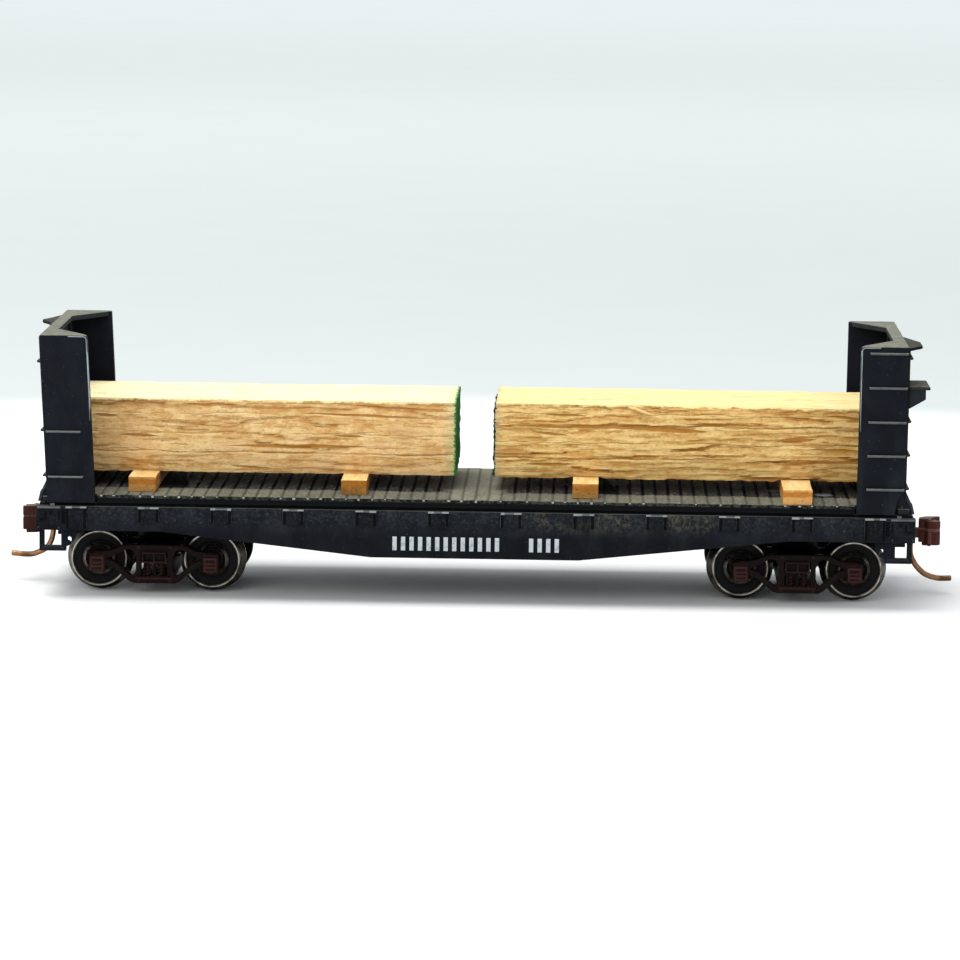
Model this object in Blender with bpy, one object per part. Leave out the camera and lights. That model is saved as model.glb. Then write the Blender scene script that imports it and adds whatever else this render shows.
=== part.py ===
"""Small-scale bulkhead flat car with two lumber loads, built sub-part by sub-part.

Lengths below are millimetres and are turned into metres when the meshes are made.
X runs along the car, the near side is -Y, and Z = 0 is the lowest point of the wheel flanges.
"""
import math

import bmesh
import bpy
from mathutils import Matrix, Vector

MM = 0.001

# ---------------------------------------------------------------- driving dimensions
# Wheels and axles
TREAD_RADIUS = 2.60
FLANGE_RADIUS = 3.10
WHEEL_INNER_FACE = 3.85
WHEEL_OUTER_FACE = 5.70
WHEEL_SEGMENTS = 32
AXLE_RADIUS = 0.55
AXLE_SHOULDER = 6.00
AXLE_TIP = 6.75
RUNNING_FIT = 0.02

# Trucks
TRUCK_CENTRE = 29.67
WHEELBASE = 10.46
SIDE_FRAME_INNER = 6.06
SIDE_FRAME_OUTER = 7.10
JOURNAL_BOX_OUTER = 7.60
BOLSTER_HALF_WIDTH = 1.70
BOLSTER_END_HALF_WIDTH = 1.20
BOLSTER_MIDDLE_HALF_WIDTH = 3.00
SPRING_PLANK_BOTTOM = 1.14
SPRING_PLANK_TOP = 1.50
CENTRE_BOSS_RADIUS = 2.20
TRUCK_TOP = 5.90
KING_PIN_RADIUS = 0.85
KING_PIN_HOLE = 0.95

# Underframe
SILL_HALF_LENGTH = 40.15
SILL_FACE = 10.50
SILL_TOP = 8.70
SILL_BOTTOM_END = 6.45
SILL_BOTTOM_MIDDLE = 4.37
BELLY_FLAT_HALF = 9.50
BELLY_SLOPE_END = 28.80
FLOOR_TOP = 8.92
POCKET_PITCH = 6.63
POCKET_COUNT = 12
POCKET_WIDTH = 1.85
POCKET_DEPTH = 1.45
POCKET_PROUD = 0.35

# Deck
DECK_HALF_LENGTH = 39.02
DECK_HALF_WIDTH = 10.20
DECK_NOTCH_HALF_WIDTH = 9.60
DECK_BOTTOM = 8.95
DECK_TOP = 9.75
PLANK_PITCH = 1.18
PLANK_COUNT = 58
PLANK_GROOVE = 0.12
PLANK_GROOVE_DEPTH = 0.10

# Bulkheads
BULKHEAD_FOOT = 9.78
BULKHEAD_SKIRT = 9.00
BULKHEAD_TOP = 24.40
BULKHEAD_OUTER_BOTTOM = 39.10
BULKHEAD_LEAN_LEFT = 0.70
BULKHEAD_LEAN_RIGHT = 0.10
WING_LENGTH = 4.36
WALL_THICKNESS = 0.72
CAP_THICKNESS = 0.45
CAP_MIDDLE_DEPTH = 1.15
CAP_MIDDLE_HALF_WIDTH = 5.30
RUNG_PROUD = 0.42
RUNG_HEIGHT = 0.26
LADDER_HEIGHTS = (23.80, 20.65, 17.52, 14.43, 11.36)
END_RUNG_HEIGHTS = (23.30, 17.52, 14.43, 11.36)
GRAB_HEIGHTS = (15.58, 11.42)
END_GRAB_HEIGHTS = (21.90, 15.58, 11.42)

# Couplers
COUPLER_PIVOT_LEFT = -37.35
COUPLER_PIVOT_RIGHT = 38.00
COUPLER_REACH = 5.25
COUPLER_BOX_START = -1.35
COUPLER_BOX_END = 1.95
COUPLER_BOX_HALF_WIDTH = 1.60
COUPLER_BOX_WALL = 0.32
COUPLER_BOX_BOTTOM = 4.95
COUPLER_BOX_TOP = 6.70
COUPLER_LID = 0.32
POST_RADIUS = 0.45
TRIP_PIN_RADIUS = 0.27

# Load
LOAD_BOTTOM = 11.12
LOAD_TOP = 17.88
LOAD_NEAR_FACE = -3.80
LOAD_FAR_FACE = 8.20
LOAD_END = 37.60
LOAD_LEFT_INNER = -1.87
LOAD_RIGHT_INNER = 1.35
REST_GAP = 0.02

WHEEL_CENTRE = FLANGE_RADIUS
AXLE_OFFSET = WHEELBASE / 2
BULKHEAD_HEIGHT = BULKHEAD_TOP - BULKHEAD_FOOT


# ---------------------------------------------------------------- helpers
def clear_scene():
    for item in list(bpy.data.objects):
        bpy.data.objects.remove(item, do_unlink=True)
    for mesh in list(bpy.data.meshes):
        bpy.data.meshes.remove(mesh)


def make_material(name, colour, roughness, metallic=0.0):
    material = bpy.data.materials.new(name)
    material.use_nodes = True
    shader = material.node_tree.nodes["Principled BSDF"]
    shader.inputs["Base Color"].default_value = (*colour, 1.0)
    shader.inputs["Roughness"].default_value = roughness
    shader.inputs["Metallic"].default_value = metallic
    material.diffuse_color = (*colour, 1.0)
    return material


def mesh_from_rings(rings):
    """Closed body from rings of equal count; the first and last ring are capped."""
    mesh = bmesh.new()
    rows = []
    for ring in rings:
        rows.append([mesh.verts.new(Vector(point) * MM) for point in ring])
    count = len(rows[0])
    for lower, upper in zip(rows, rows[1:]):
        for i in range(count):
            j = (i + 1) % count
            mesh.faces.new((lower[i], lower[j], upper[j], upper[i]))
    mesh.faces.new(tuple(reversed(rows[0])))
    mesh.faces.new(tuple(rows[-1]))
    bmesh.ops.recalc_face_normals(mesh, faces=mesh.faces)
    return mesh


def box(x0, x1, y0, y1, z0, z1):
    lower = ((x0, y0, z0), (x1, y0, z0), (x1, y1, z0), (x0, y1, z0))
    upper = tuple((x, y, z1) for x, y, _ in lower)
    return mesh_from_rings((lower, upper))


def side_prism(outline, y0, y1):
    """Outline of (x, z) points carried from y0 to y1."""
    first = [(x, y0, z) for x, z in outline]
    last = [(x, y1, z) for x, z in outline]
    return mesh_from_rings((first, last))


def plan_prism(outline, z0, z1):
    """Outline of (x, y) points carried from z0 to z1."""
    first = [(x, y, z0) for x, y in outline]
    last = [(x, y, z1) for x, y in outline]
    return mesh_from_rings((first, last))


def upright_turning(profile, x, y, segments):
    """Solid of revolution about a vertical axis; profile is (radius, z) pairs."""
    rings = []
    for radius, z in profile:
        ring = []
        for i in range(segments):
            angle = math.tau * i / segments
            ring.append((x + radius * math.cos(angle), y + radius * math.sin(angle), z))
        rings.append(ring)
    return mesh_from_rings(rings)


def cross_turning(profile, segments):
    """Solid of revolution about the Y axis; profile is (radius, y) pairs."""
    rings = []
    for radius, y in profile:
        ring = []
        for i in range(segments):
            angle = math.tau * i / segments
            ring.append((radius * math.cos(angle), y, radius * math.sin(angle)))
        rings.append(ring)
    return mesh_from_rings(rings)


def cross_washer(profile, segments):
    """Ring-shaped solid about the Y axis; profile is a closed loop of (radius, y) pairs."""
    mesh = bmesh.new()
    rows = []
    for i in range(segments):
        angle = math.tau * i / segments
        row = []
        for radius, y in profile:
            point = Vector((radius * math.cos(angle), y, radius * math.sin(angle)))
            row.append(mesh.verts.new(point * MM))
        rows.append(row)
    count = len(profile)
    for i in range(segments):
        here = rows[i]
        there = rows[(i + 1) % segments]
        for j in range(count):
            k = (j + 1) % count
            mesh.faces.new((here[j], here[k], there[k], there[j]))
    bmesh.ops.recalc_face_normals(mesh, faces=mesh.faces)
    return mesh


def turned_about(mesh, degrees):
    """Turn a body about the vertical axis through the middle of the car."""
    turn = Matrix.Rotation(math.radians(degrees), 4, "Z")
    bmesh.ops.transform(mesh, matrix=turn, verts=mesh.verts)
    return mesh


def mirrored(mesh, axis):
    """Mirror a body across the plane through the middle of the car."""
    scale = Vector((-1, 1, 1)) if axis == "X" else Vector((1, -1, 1))
    bmesh.ops.scale(mesh, vec=scale, verts=mesh.verts)
    bmesh.ops.reverse_faces(mesh, faces=mesh.faces)
    return mesh


def plain_object(name, mesh):
    data = bpy.data.meshes.new(name)
    mesh.to_mesh(data)
    mesh.free()
    item = bpy.data.objects.new(name, data)
    bpy.context.scene.collection.objects.link(item)
    return item


def combined(name, added, removed=()):
    """One body made of the first mesh, the other added meshes and the removed meshes."""
    base = plain_object(name, added[0])
    helpers = []
    for operation, meshes in (("UNION", added[1:]), ("DIFFERENCE", removed)):
        for mesh in meshes:
            helper = plain_object(name + "_helper", mesh)
            helpers.append(helper)
            modifier = base.modifiers.new(operation.lower(), "BOOLEAN")
            modifier.operation = operation
            modifier.solver = "EXACT"
            modifier.object = helper
    bpy.context.view_layer.update()
    graph = bpy.context.evaluated_depsgraph_get()
    result = bpy.data.meshes.new_from_object(base.evaluated_get(graph))
    base.modifiers.clear()
    spare = base.data
    base.data = result
    result.name = name
    bpy.data.meshes.remove(spare)
    for helper in helpers:
        helper_data = helper.data
        bpy.data.objects.remove(helper, do_unlink=True)
        bpy.data.meshes.remove(helper_data)
    return base


def finish(item, material, origin=(0, 0, 0), smooth=False, parent=None):
    """Give a body its material, put its origin on the given point and hang it on a parent."""
    offset = Vector(origin) * MM
    item.data.transform(Matrix.Translation(-offset))
    item.data.materials.clear()
    item.data.materials.append(material)
    if smooth:
        item.data.shade_smooth()
        item.data.set_sharp_from_angle(angle=math.radians(35))
    if parent is None:
        item.location = offset
    else:
        item.parent = parent
        item.location = offset - parent.matrix_world.translation
    return item


def joint_empty(name, point, parent=None):
    item = bpy.data.objects.new(name, None)
    bpy.context.scene.collection.objects.link(item)
    item.empty_display_size = 2 * MM
    place = Vector(point) * MM
    if parent is None:
        item.location = place
    else:
        item.parent = parent
        item.location = place - parent.matrix_world.translation
    bpy.context.view_layer.update()
    return item


# ---------------------------------------------------------------- materials
clear_scene()
BODY_BLACK = make_material("body_black", (0.016, 0.018, 0.023), 0.55)
DECK_GREY = make_material("deck_grey", (0.085, 0.082, 0.072), 0.85)
TRUCK_BROWN = make_material("truck_brown", (0.055, 0.020, 0.015), 0.60)
WHEEL_BLACK = make_material("wheel_black", (0.030, 0.029, 0.028), 0.38, 0.8)
AXLE_STEEL = make_material("axle_steel", (0.33, 0.31, 0.28), 0.35, 1.0)
COUPLER_BROWN = make_material("coupler_brown", (0.085, 0.028, 0.018), 0.55)
PIN_COPPER = make_material("pin_copper", (0.62, 0.30, 0.17), 0.30, 1.0)
LUMBER = make_material("lumber", (0.76, 0.55, 0.31), 0.80)
DUNNAGE_WOOD = make_material("dunnage_wood", (0.66, 0.36, 0.14), 0.75)


# ---------------------------------------------------------------- underframe
def underframe_solids():
    sill_outline = (
        (-SILL_HALF_LENGTH, SILL_TOP),
        (-SILL_HALF_LENGTH, SILL_BOTTOM_END),
        (-BELLY_SLOPE_END, SILL_BOTTOM_END),
        (-BELLY_FLAT_HALF, SILL_BOTTOM_MIDDLE),
        (BELLY_FLAT_HALF, SILL_BOTTOM_MIDDLE),
        (BELLY_SLOPE_END, SILL_BOTTOM_END),
        (SILL_HALF_LENGTH, SILL_BOTTOM_END),
        (SILL_HALF_LENGTH, SILL_TOP),
    )
    centre_outline = (
        (-36.6, 8.15), (-36.6, 6.75), (-18.0, 6.75), (-BELLY_FLAT_HALF, 4.9),
        (BELLY_FLAT_HALF, 4.9), (18.0, 6.75), (36.6, 6.75), (36.6, 8.15),
    )
    added = [box(-39.90, 39.90, -9.85, 9.85, 7.95, FLOOR_TOP)]
    removed = []
    added.append(side_prism(sill_outline, -SILL_FACE, -9.75))
    added.append(side_prism(sill_outline, 9.75, SILL_FACE))
    added.append(side_prism(centre_outline, -1.4, 1.4))
    for side in (-1, 1):
        end_outline = ((-10.3, 6.52), (-1.95, 6.52), (-1.95, 6.9), (1.95, 6.9), (1.95, 6.52), (10.3, 6.52),
                       (10.3, 8.62), (-10.3, 8.62))
        inner, outer = sorted((side * 39.45, side * 40.08))
        first = [(inner, y, z) for y, z in end_outline]
        last = [(outer, y, z) for y, z in end_outline]
        added.append(mesh_from_rings((first, last)))
        pad_start, pad_end = sorted((side * 35.9, side * 40.0))
        added.append(box(pad_start, pad_end, -1.9, 1.9, COUPLER_BOX_TOP + 0.03, 8.1))
        centre = side * TRUCK_CENTRE
        added.append(box(centre - 0.95, centre + 0.95, -9.9, 9.9, 7.05, 8.1))
        added.append(upright_turning(
            ((CENTRE_BOSS_RADIUS, TRUCK_TOP + 0.05), (CENTRE_BOSS_RADIUS, 8.05)), centre, 0, 24))
        removed.append(upright_turning(
            ((KING_PIN_RADIUS + 0.03, 5.0), (KING_PIN_RADIUS + 0.03, 7.6)), centre, 0, 20))
        for bearer in (6.63, 16.57):
            middle = side * bearer
            added.append(box(middle - 0.4, middle + 0.4, -9.8, 9.8, 6.8, 8.1))
    for face in (-1, 1):
        y0, y1 = sorted((face * (SILL_FACE - 0.1), face * (SILL_FACE + POCKET_PROUD)))
        for i in range(POCKET_COUNT):
            centre = (i - (POCKET_COUNT - 1) / 2) * POCKET_PITCH
            half = POCKET_WIDTH / 2
            added.append(box(centre - half, centre + half, y0, y1,
                             SILL_TOP - POCKET_DEPTH, SILL_TOP - 0.05))
    return added, removed


added, removed = underframe_solids()
finish(combined("underframe", added, removed), BODY_BLACK)


# ---------------------------------------------------------------- deck
def deck_outline():
    """Side outline of the deck with a narrow groove between neighbouring planks."""
    top = []
    first_groove = -PLANK_PITCH * PLANK_COUNT / 2
    for i in range(PLANK_COUNT + 1):
        x = first_groove + i * PLANK_PITCH
        top.append((x - PLANK_GROOVE / 2, DECK_TOP))
        top.append((x - PLANK_GROOVE / 4, DECK_TOP - PLANK_GROOVE_DEPTH))
        top.append((x + PLANK_GROOVE / 4, DECK_TOP - PLANK_GROOVE_DEPTH))
        top.append((x + PLANK_GROOVE / 2, DECK_TOP))
    ends = [(DECK_HALF_LENGTH, DECK_TOP), (DECK_HALF_LENGTH, DECK_BOTTOM),
            (-DECK_HALF_LENGTH, DECK_BOTTOM), (-DECK_HALF_LENGTH, DECK_TOP)]
    return top + ends


notches = []
for side in (-1, 1):
    for face in (-1, 1):
        x0, x1 = sorted((side * 34.70, side * 39.50))
        y0, y1 = sorted((face * DECK_NOTCH_HALF_WIDTH, face * 10.6))
        notches.append(box(x0, x1, y0, y1, 8.5, 10.2))
deck_body = side_prism(deck_outline(), -DECK_HALF_WIDTH, DECK_HALF_WIDTH)
finish(combined("deck", [deck_body], notches), DECK_GREY)


# ---------------------------------------------------------------- bulkheads
def wall_outline(outer):
    """Plan of the right-hand bulkhead walls: end panel with a deep wing at each side."""
    inner = outer - WING_LENGTH
    panel = outer - WALL_THICKNESS
    edge = SILL_FACE - WALL_THICKNESS
    return ((outer, -SILL_FACE), (outer, SILL_FACE), (inner, SILL_FACE), (inner, edge),
            (panel, edge), (panel, -edge), (inner, -edge), (inner, -SILL_FACE))


def cap_outline(outer):
    """Plan of the plate that closes the bulkhead top, wedge-shaped over each wing."""
    inner = outer - WING_LENGTH + 0.04
    panel = outer - CAP_MIDDLE_DEPTH
    side = SILL_FACE - 0.02
    edge = SILL_FACE - WALL_THICKNESS - 0.02
    half = CAP_MIDDLE_HALF_WIDTH
    return ((outer - 0.02, -side), (outer - 0.02, side), (inner, side), (inner, edge),
            (panel, half), (panel, -half), (inner, -edge), (inner, -side))


def bulkhead_face(z, lean):
    """Distance of the leaning outer face from the middle of the car at a height."""
    return BULKHEAD_OUTER_BOTTOM + lean * (z - BULKHEAD_FOOT) / BULKHEAD_HEIGHT


def bulkhead_solids(lean):
    """Solids of one bulkhead as it stands at the right-hand end."""
    low = [(x, y, BULKHEAD_FOOT) for x, y in wall_outline(BULKHEAD_OUTER_BOTTOM)]
    wall_top = BULKHEAD_TOP - 0.02
    high = [(x, y, wall_top) for x, y in wall_outline(bulkhead_face(wall_top, lean))]
    cap = plan_prism(cap_outline(bulkhead_face(BULKHEAD_TOP, lean)), BULKHEAD_TOP - CAP_THICKNESS,
                     BULKHEAD_TOP)
    added = [mesh_from_rings((low, high)), cap]
    wing_start = BULKHEAD_OUTER_BOTTOM - WING_LENGTH + 0.02
    for face in (-1, 1):
        y0, y1 = sorted((face * (DECK_NOTCH_HALF_WIDTH + 0.06), face * (SILL_FACE - 0.02)))
        added.append(box(wing_start, BULKHEAD_OUTER_BOTTOM - 0.95, y0, y1, BULKHEAD_SKIRT, 10.2))
        g0, g1 = sorted((face * 9.0, face * 9.5))
        brace = ((38.8, 11.3), (38.8, 9.9), (39.06, 9.9), (39.06, FLOOR_TOP + 0.03),
                 (40.1, FLOOR_TOP + 0.03), (39.95, 9.6), (39.15, 11.3))
        added.append(side_prism(brace, g0, g1))
    for z in LADDER_HEIGHTS:
        x0 = bulkhead_face(z, lean) - 3.45
        added.append(box(x0, bulkhead_face(z, lean) - 0.08, -SILL_FACE - RUNG_PROUD, -SILL_FACE + 0.1,
                         z - RUNG_HEIGHT / 2, z + RUNG_HEIGHT / 2))
    for z in GRAB_HEIGHTS:
        x0 = bulkhead_face(z, lean) - 3.30
        added.append(box(x0, bulkhead_face(z, lean) - 0.20, SILL_FACE - 0.1, SILL_FACE + RUNG_PROUD,
                         z - RUNG_HEIGHT / 2, z + RUNG_HEIGHT / 2))
    for z in END_RUNG_HEIGHTS:
        x0 = bulkhead_face(z, lean) - 0.1
        added.append(box(x0, x0 + 0.1 + RUNG_PROUD, -10.2, -7.0, z - RUNG_HEIGHT / 2, z + RUNG_HEIGHT / 2))
    for z in END_GRAB_HEIGHTS:
        x0 = bulkhead_face(z, lean) - 0.1
        added.append(box(x0, x0 + 0.1 + RUNG_PROUD, 7.0, 10.2, z - RUNG_HEIGHT / 2, z + RUNG_HEIGHT / 2))
    corner = ((39.3, 11.4), (38.45, 10.45), (38.2, 8.9), (40.5, 8.9), (40.5, 11.4))
    removed = [side_prism(corner, -11.5, -9.75)]
    return added, removed


for name, degrees, lean in (("bulkhead_right", 0, BULKHEAD_LEAN_RIGHT),
                            ("bulkhead_left", 180, BULKHEAD_LEAN_LEFT)):
    added, removed = bulkhead_solids(lean)
    added = [turned_about(mesh, degrees) for mesh in added]
    removed = [turned_about(mesh, degrees) for mesh in removed]
    finish(combined(name, added, removed), BODY_BLACK)


# ---------------------------------------------------------------- end ledges and brake step
def ledge(side, points):
    return plan_prism([(side * x, y) for x, y in points], 24.02, 24.32)


RIGHT_FACE = bulkhead_face(24.3, BULKHEAD_LEAN_RIGHT) + 0.02
LEFT_FACE = bulkhead_face(24.3, BULKHEAD_LEAN_LEFT) + 0.02
RIGHT_LEDGE = ((RIGHT_FACE, -1.3), (RIGHT_FACE + 1.30, -5.4), (RIGHT_FACE + 1.30, -8.4), (RIGHT_FACE, -10.4))
LEFT_LEDGE = ((LEFT_FACE, 6.8), (LEFT_FACE + 0.95, 3.4), (LEFT_FACE + 0.95, 0.6), (LEFT_FACE, -1.2))
for name, side, points in (("end_ledge_right", 1, RIGHT_LEDGE), ("end_ledge_left", -1, LEFT_LEDGE)):
    finish(plain_object(name, ledge(side, points)), BODY_BLACK)

STEP_FACE = bulkhead_face(20.8, BULKHEAD_LEAN_RIGHT) + 0.02
step_plate = box(STEP_FACE, STEP_FACE + 2.0, -10.2, -5.2, 20.47, 20.77)
bracket_outline = ((STEP_FACE, 20.57), (STEP_FACE, 18.75), (STEP_FACE + 0.15, 18.75),
                   (STEP_FACE + 1.6, 19.6), (STEP_FACE + 1.6, 20.57))
step_brackets = [side_prism(bracket_outline, y, y + 0.45) for y in (-10.05, -5.9)]
finish(combined("brake_step", [step_plate] + step_brackets), BODY_BLACK)


# ---------------------------------------------------------------- stirrup steps
def stirrup(name, side, face):
    """U-shaped step hanging from the corner of the side sill, with a pierced web on its inner post."""
    x0, x1 = 37.40, 39.88
    top, bottom, bar = SILL_BOTTOM_END - 0.02, 4.50, 0.48
    step = ((x0, top), (x0, bottom), (x1, bottom), (x1, top),
            (x1 - bar, top), (x1 - bar, bottom + 0.54), (x0 + bar, bottom + 0.54), (x0 + bar, top))
    web = ((x0 + 0.1, bottom + 0.35), (x0 - 0.45, bottom + 0.65), (x0 - 0.85, bottom + 1.15), (x0 - 0.90, top),
           (x0 + 0.1, top))
    eye = [(x0 - 0.32 + 0.18 * math.cos(math.tau * i / 10), bottom + 1.16 + 0.18 * math.sin(math.tau * i / 10))
           for i in range(10)]
    depths = ((9.95, 10.35), (10.02, 10.28), (9.8, 10.5))
    bodies = []
    for outline, (near, far) in zip((step, web, eye), depths):
        bodies.append(side_prism([(side * x, z) for x, z in outline], face * near, face * far))
    return combined(name, bodies[:2], bodies[2:])


for side, end_name in ((-1, "left"), (1, "right")):
    for face, face_name in ((-1, "near"), (1, "far")):
        finish(stirrup("stirrup_" + end_name + "_" + face_name, side, face), BODY_BLACK)


# ---------------------------------------------------------------- lumber and its cross blocks
BLOCKS = (
    ("dunnage_1", -30.70, 2.60, -8.00),
    ("dunnage_2", -11.20, 2.42, -8.10),
    ("dunnage_3", 10.05, 2.45, -8.20),
    ("dunnage_4", 29.40, 2.75, -10.00),
)


def bevelled(name, mesh, width):
    item = plain_object(name, mesh)
    modifier = item.modifiers.new("edge_break", "BEVEL")
    modifier.width = width * MM
    modifier.segments = 1
    modifier.limit_method = "NONE"
    return item


for name, x, width, near_end in BLOCKS:
    block = box(x - width / 2, x + width / 2, near_end, 8.8, DECK_TOP + REST_GAP, LOAD_BOTTOM - REST_GAP)
    finish(bevelled(name, block, 0.12), DUNNAGE_WOOD)

for name, x0, x1 in (("load_left", -LOAD_END, LOAD_LEFT_INNER), ("load_right", LOAD_RIGHT_INNER, LOAD_END)):
    block = box(x0, x1, LOAD_NEAR_FACE, LOAD_FAR_FACE, LOAD_BOTTOM, LOAD_TOP)
    finish(bevelled(name, block, 0.15), LUMBER, origin=((x0 + x1) / 2, 0, LOAD_BOTTOM))


# ---------------------------------------------------------------- couplers
def coupler_box(name):
    """Open-ended box with its post, standing at the origin and facing right."""
    x0, x1 = COUPLER_BOX_START, COUPLER_BOX_END
    half = COUPLER_BOX_HALF_WIDTH
    wall = COUPLER_BOX_WALL
    shell = box(x0, x1, -half, half, COUPLER_BOX_BOTTOM, COUPLER_BOX_TOP)
    inside = box(x0 + wall, x1 + 1, -half + wall, half - wall, COUPLER_BOX_BOTTOM - 1, COUPLER_BOX_TOP - wall)
    post = upright_turning(
        ((POST_RADIUS, COUPLER_BOX_BOTTOM), (POST_RADIUS, COUPLER_BOX_TOP - wall / 2)), 0, 0, 16)
    thread = upright_turning(((0.23, COUPLER_BOX_BOTTOM - 0.5), (0.23, 6.1)), 0, 0, 12)
    hollow = combined(name, [shell], [inside])
    filled = bmesh.new()
    filled.from_mesh(hollow.data)
    spare = hollow.data
    bpy.data.objects.remove(hollow, do_unlink=True)
    bpy.data.meshes.remove(spare)
    return combined(name, [filled, post], [thread])


def coupler_lid(name):
    top = COUPLER_BOX_BOTTOM - REST_GAP
    plate = box(COUPLER_BOX_START, COUPLER_BOX_END - 0.05, -COUPLER_BOX_HALF_WIDTH, COUPLER_BOX_HALF_WIDTH,
                top - COUPLER_LID, top)
    return combined(name, [plate], [upright_turning(((0.25, 4.0), (0.25, 5.5)), 0, 0, 12)])


def coupler_screw(name):
    top = COUPLER_BOX_BOTTOM - 2 * REST_GAP - COUPLER_LID
    profile = ((0.40, top - 0.30), (0.55, top - 0.20), (0.55, top), (0.20, top), (0.20, 6.0))
    return plain_object(name, upright_turning(profile, 0, 0, 12))


def coupler_head(name):
    """Shank with its eye, and the fixed jaw."""
    eye = []
    for i in range(11):
        angle = math.radians(30 + 30 * i)
        eye.append((0.95 * math.cos(angle), 0.95 * math.sin(angle)))
    reach = COUPLER_REACH
    jaw = ((reach - 2.1, -0.45), (reach - 1.6, -0.62), (reach - 0.9, -0.62), (reach - 0.8, 0.25),
           (reach - 0.4, 0.62), (reach, 0.80), (reach - 0.05, 1.25), (reach - 1.35, 1.05), (reach - 1.95, 0.5))
    added = [plan_prism(eye, 5.35, 6.25), box(0.7, reach - 1.75, -0.42, 0.42, 5.35, 6.25),
             plan_prism(jaw, 4.60, 7.20)]
    hole = upright_turning(((POST_RADIUS + 0.07, 5.0), (POST_RADIUS + 0.07, 6.6)), 0, 0, 16)
    return combined(name, added, [hole])


def knuckle(name):
    reach = COUPLER_REACH
    outline = ((reach - 1.55, -0.66), (reach - 0.83, -0.66), (reach - 0.75, -0.15), (reach - 0.43, -0.12),
               (reach - 0.35, -0.52), (reach - 0.05, -0.62), (reach - 0.1, -1.00), (reach - 0.5, -1.22),
               (reach - 1.25, -1.12))
    return plain_object(name, plan_prism(outline, 4.75, 7.05))


def trip_pin(name, path):
    """Bent round wire through the given (x, z) points below the coupler."""
    curve = bpy.data.curves.new(name, "CURVE")
    curve.dimensions = "3D"
    curve.bevel_depth = TRIP_PIN_RADIUS * MM
    curve.bevel_resolution = 1
    curve.use_fill_caps = True
    spline = curve.splines.new("POLY")
    spline.points.add(len(path) - 1)
    for point, (x, z) in zip(spline.points, path):
        point.co = (x * MM, 0.0, z * MM, 1.0)
    item = bpy.data.objects.new(name + "_wire", curve)
    bpy.context.scene.collection.objects.link(item)
    bpy.context.view_layer.update()
    graph = bpy.context.evaluated_depsgraph_get()
    data = bpy.data.meshes.new_from_object(item.evaluated_get(graph))
    mesh = bmesh.new()
    mesh.from_mesh(data)
    bmesh.ops.remove_doubles(mesh, verts=mesh.verts, dist=0.000001)
    bmesh.ops.recalc_face_normals(mesh, faces=mesh.faces)
    bpy.data.objects.remove(item, do_unlink=True)
    bpy.data.curves.remove(curve)
    bpy.data.meshes.remove(data)
    return plain_object(name, mesh)


RIGHT_PIN = ((2.50, 5.28), (2.50, 3.90), (2.78, 3.10), (3.30, 2.38), (4.00, 1.82), (5.10, 1.50), (6.42, 1.52))
LEFT_PIN = ((2.50, 5.28), (2.52, 4.60), (2.72, 3.75), (3.15, 3.08), (3.82, 2.68), (4.75, 2.42), (6.50, 2.52))

for end_name, pivot_x, degrees, path in (
    ("left", COUPLER_PIVOT_LEFT, 180, LEFT_PIN),
    ("right", COUPLER_PIVOT_RIGHT, 0, RIGHT_PIN),
):
    place = Matrix.Translation(Vector((pivot_x, 0, 0)) * MM) @ Matrix.Rotation(math.radians(degrees), 4, "Z")
    pivot = (pivot_x, 0, 5.8)
    fixed = ((coupler_box("coupler_box_" + end_name), BODY_BLACK, False),
             (coupler_lid("coupler_lid_" + end_name), BODY_BLACK, False),
             (coupler_screw("coupler_screw_" + end_name), AXLE_STEEL, True))
    for item, material, smooth in fixed:
        item.data.transform(place)
        finish(item, material, smooth=smooth)
    swing = joint_empty("coupler_swing_" + end_name, pivot)
    moving = ((coupler_head("coupler_head_" + end_name), COUPLER_BROWN, False),
              (knuckle("knuckle_" + end_name), COUPLER_BROWN, False),
              (trip_pin("trip_pin_" + end_name, path), PIN_COPPER, True))
    for item, material, smooth in moving:
        item.data.transform(place)
        finish(item, material, pivot, smooth=smooth, parent=swing)


# ---------------------------------------------------------------- trucks
def side_frame_solids(face):
    """Open truss side frame of one truck side, with journal boxes and two springs."""
    inner, outer = face * SIDE_FRAME_INNER, face * SIDE_FRAME_OUTER
    top_chord = (
        (-6.05, 3.20), (-5.80, 3.88), (-4.60, 3.98), (-3.80, 4.15), (-2.75, 4.62), (2.75, 4.62),
        (3.80, 4.15), (4.60, 3.98), (5.80, 3.88), (6.05, 3.20), (4.40, 3.30), (3.60, 3.55),
        (2.60, 4.05), (-2.60, 4.05), (-3.60, 3.55), (-4.40, 3.30),
    )
    bottom_chord = (
        (-4.55, 3.35), (-3.40, 3.02), (-1.90, 1.62), (1.90, 1.62), (3.40, 3.02), (4.55, 3.35),
        (4.60, 2.60), (3.70, 2.42), (2.10, 1.12), (-2.10, 1.12), (-3.70, 2.42), (-4.60, 2.60),
    )
    added = [side_prism(top_chord, inner, outer), side_prism(bottom_chord, inner, outer)]
    y0, y1 = sorted((inner, face * JOURNAL_BOX_OUTER))
    for axle in (-AXLE_OFFSET, AXLE_OFFSET):
        added.append(box(axle - 0.74, axle + 0.74, y0, y1, 2.02, 3.84))
    y0, y1 = sorted((inner, outer))
    for column in (-1.60, 1.60):
        added.append(box(column - 0.24, column + 0.24, y0 + 0.04, y1 - 0.04, 1.4, 4.3))
    y0, y1 = sorted((face * 5.9, face * (SIDE_FRAME_OUTER + 0.2)))
    added.append(box(-1.12, 1.12, y0, y1, 3.02, 3.92))
    for spring in (-0.63, 0.63):
        added.append(upright_turning(((0.38, 1.45), (0.38, 3.2)), spring, face * 6.65, 10))
    return added


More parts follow.
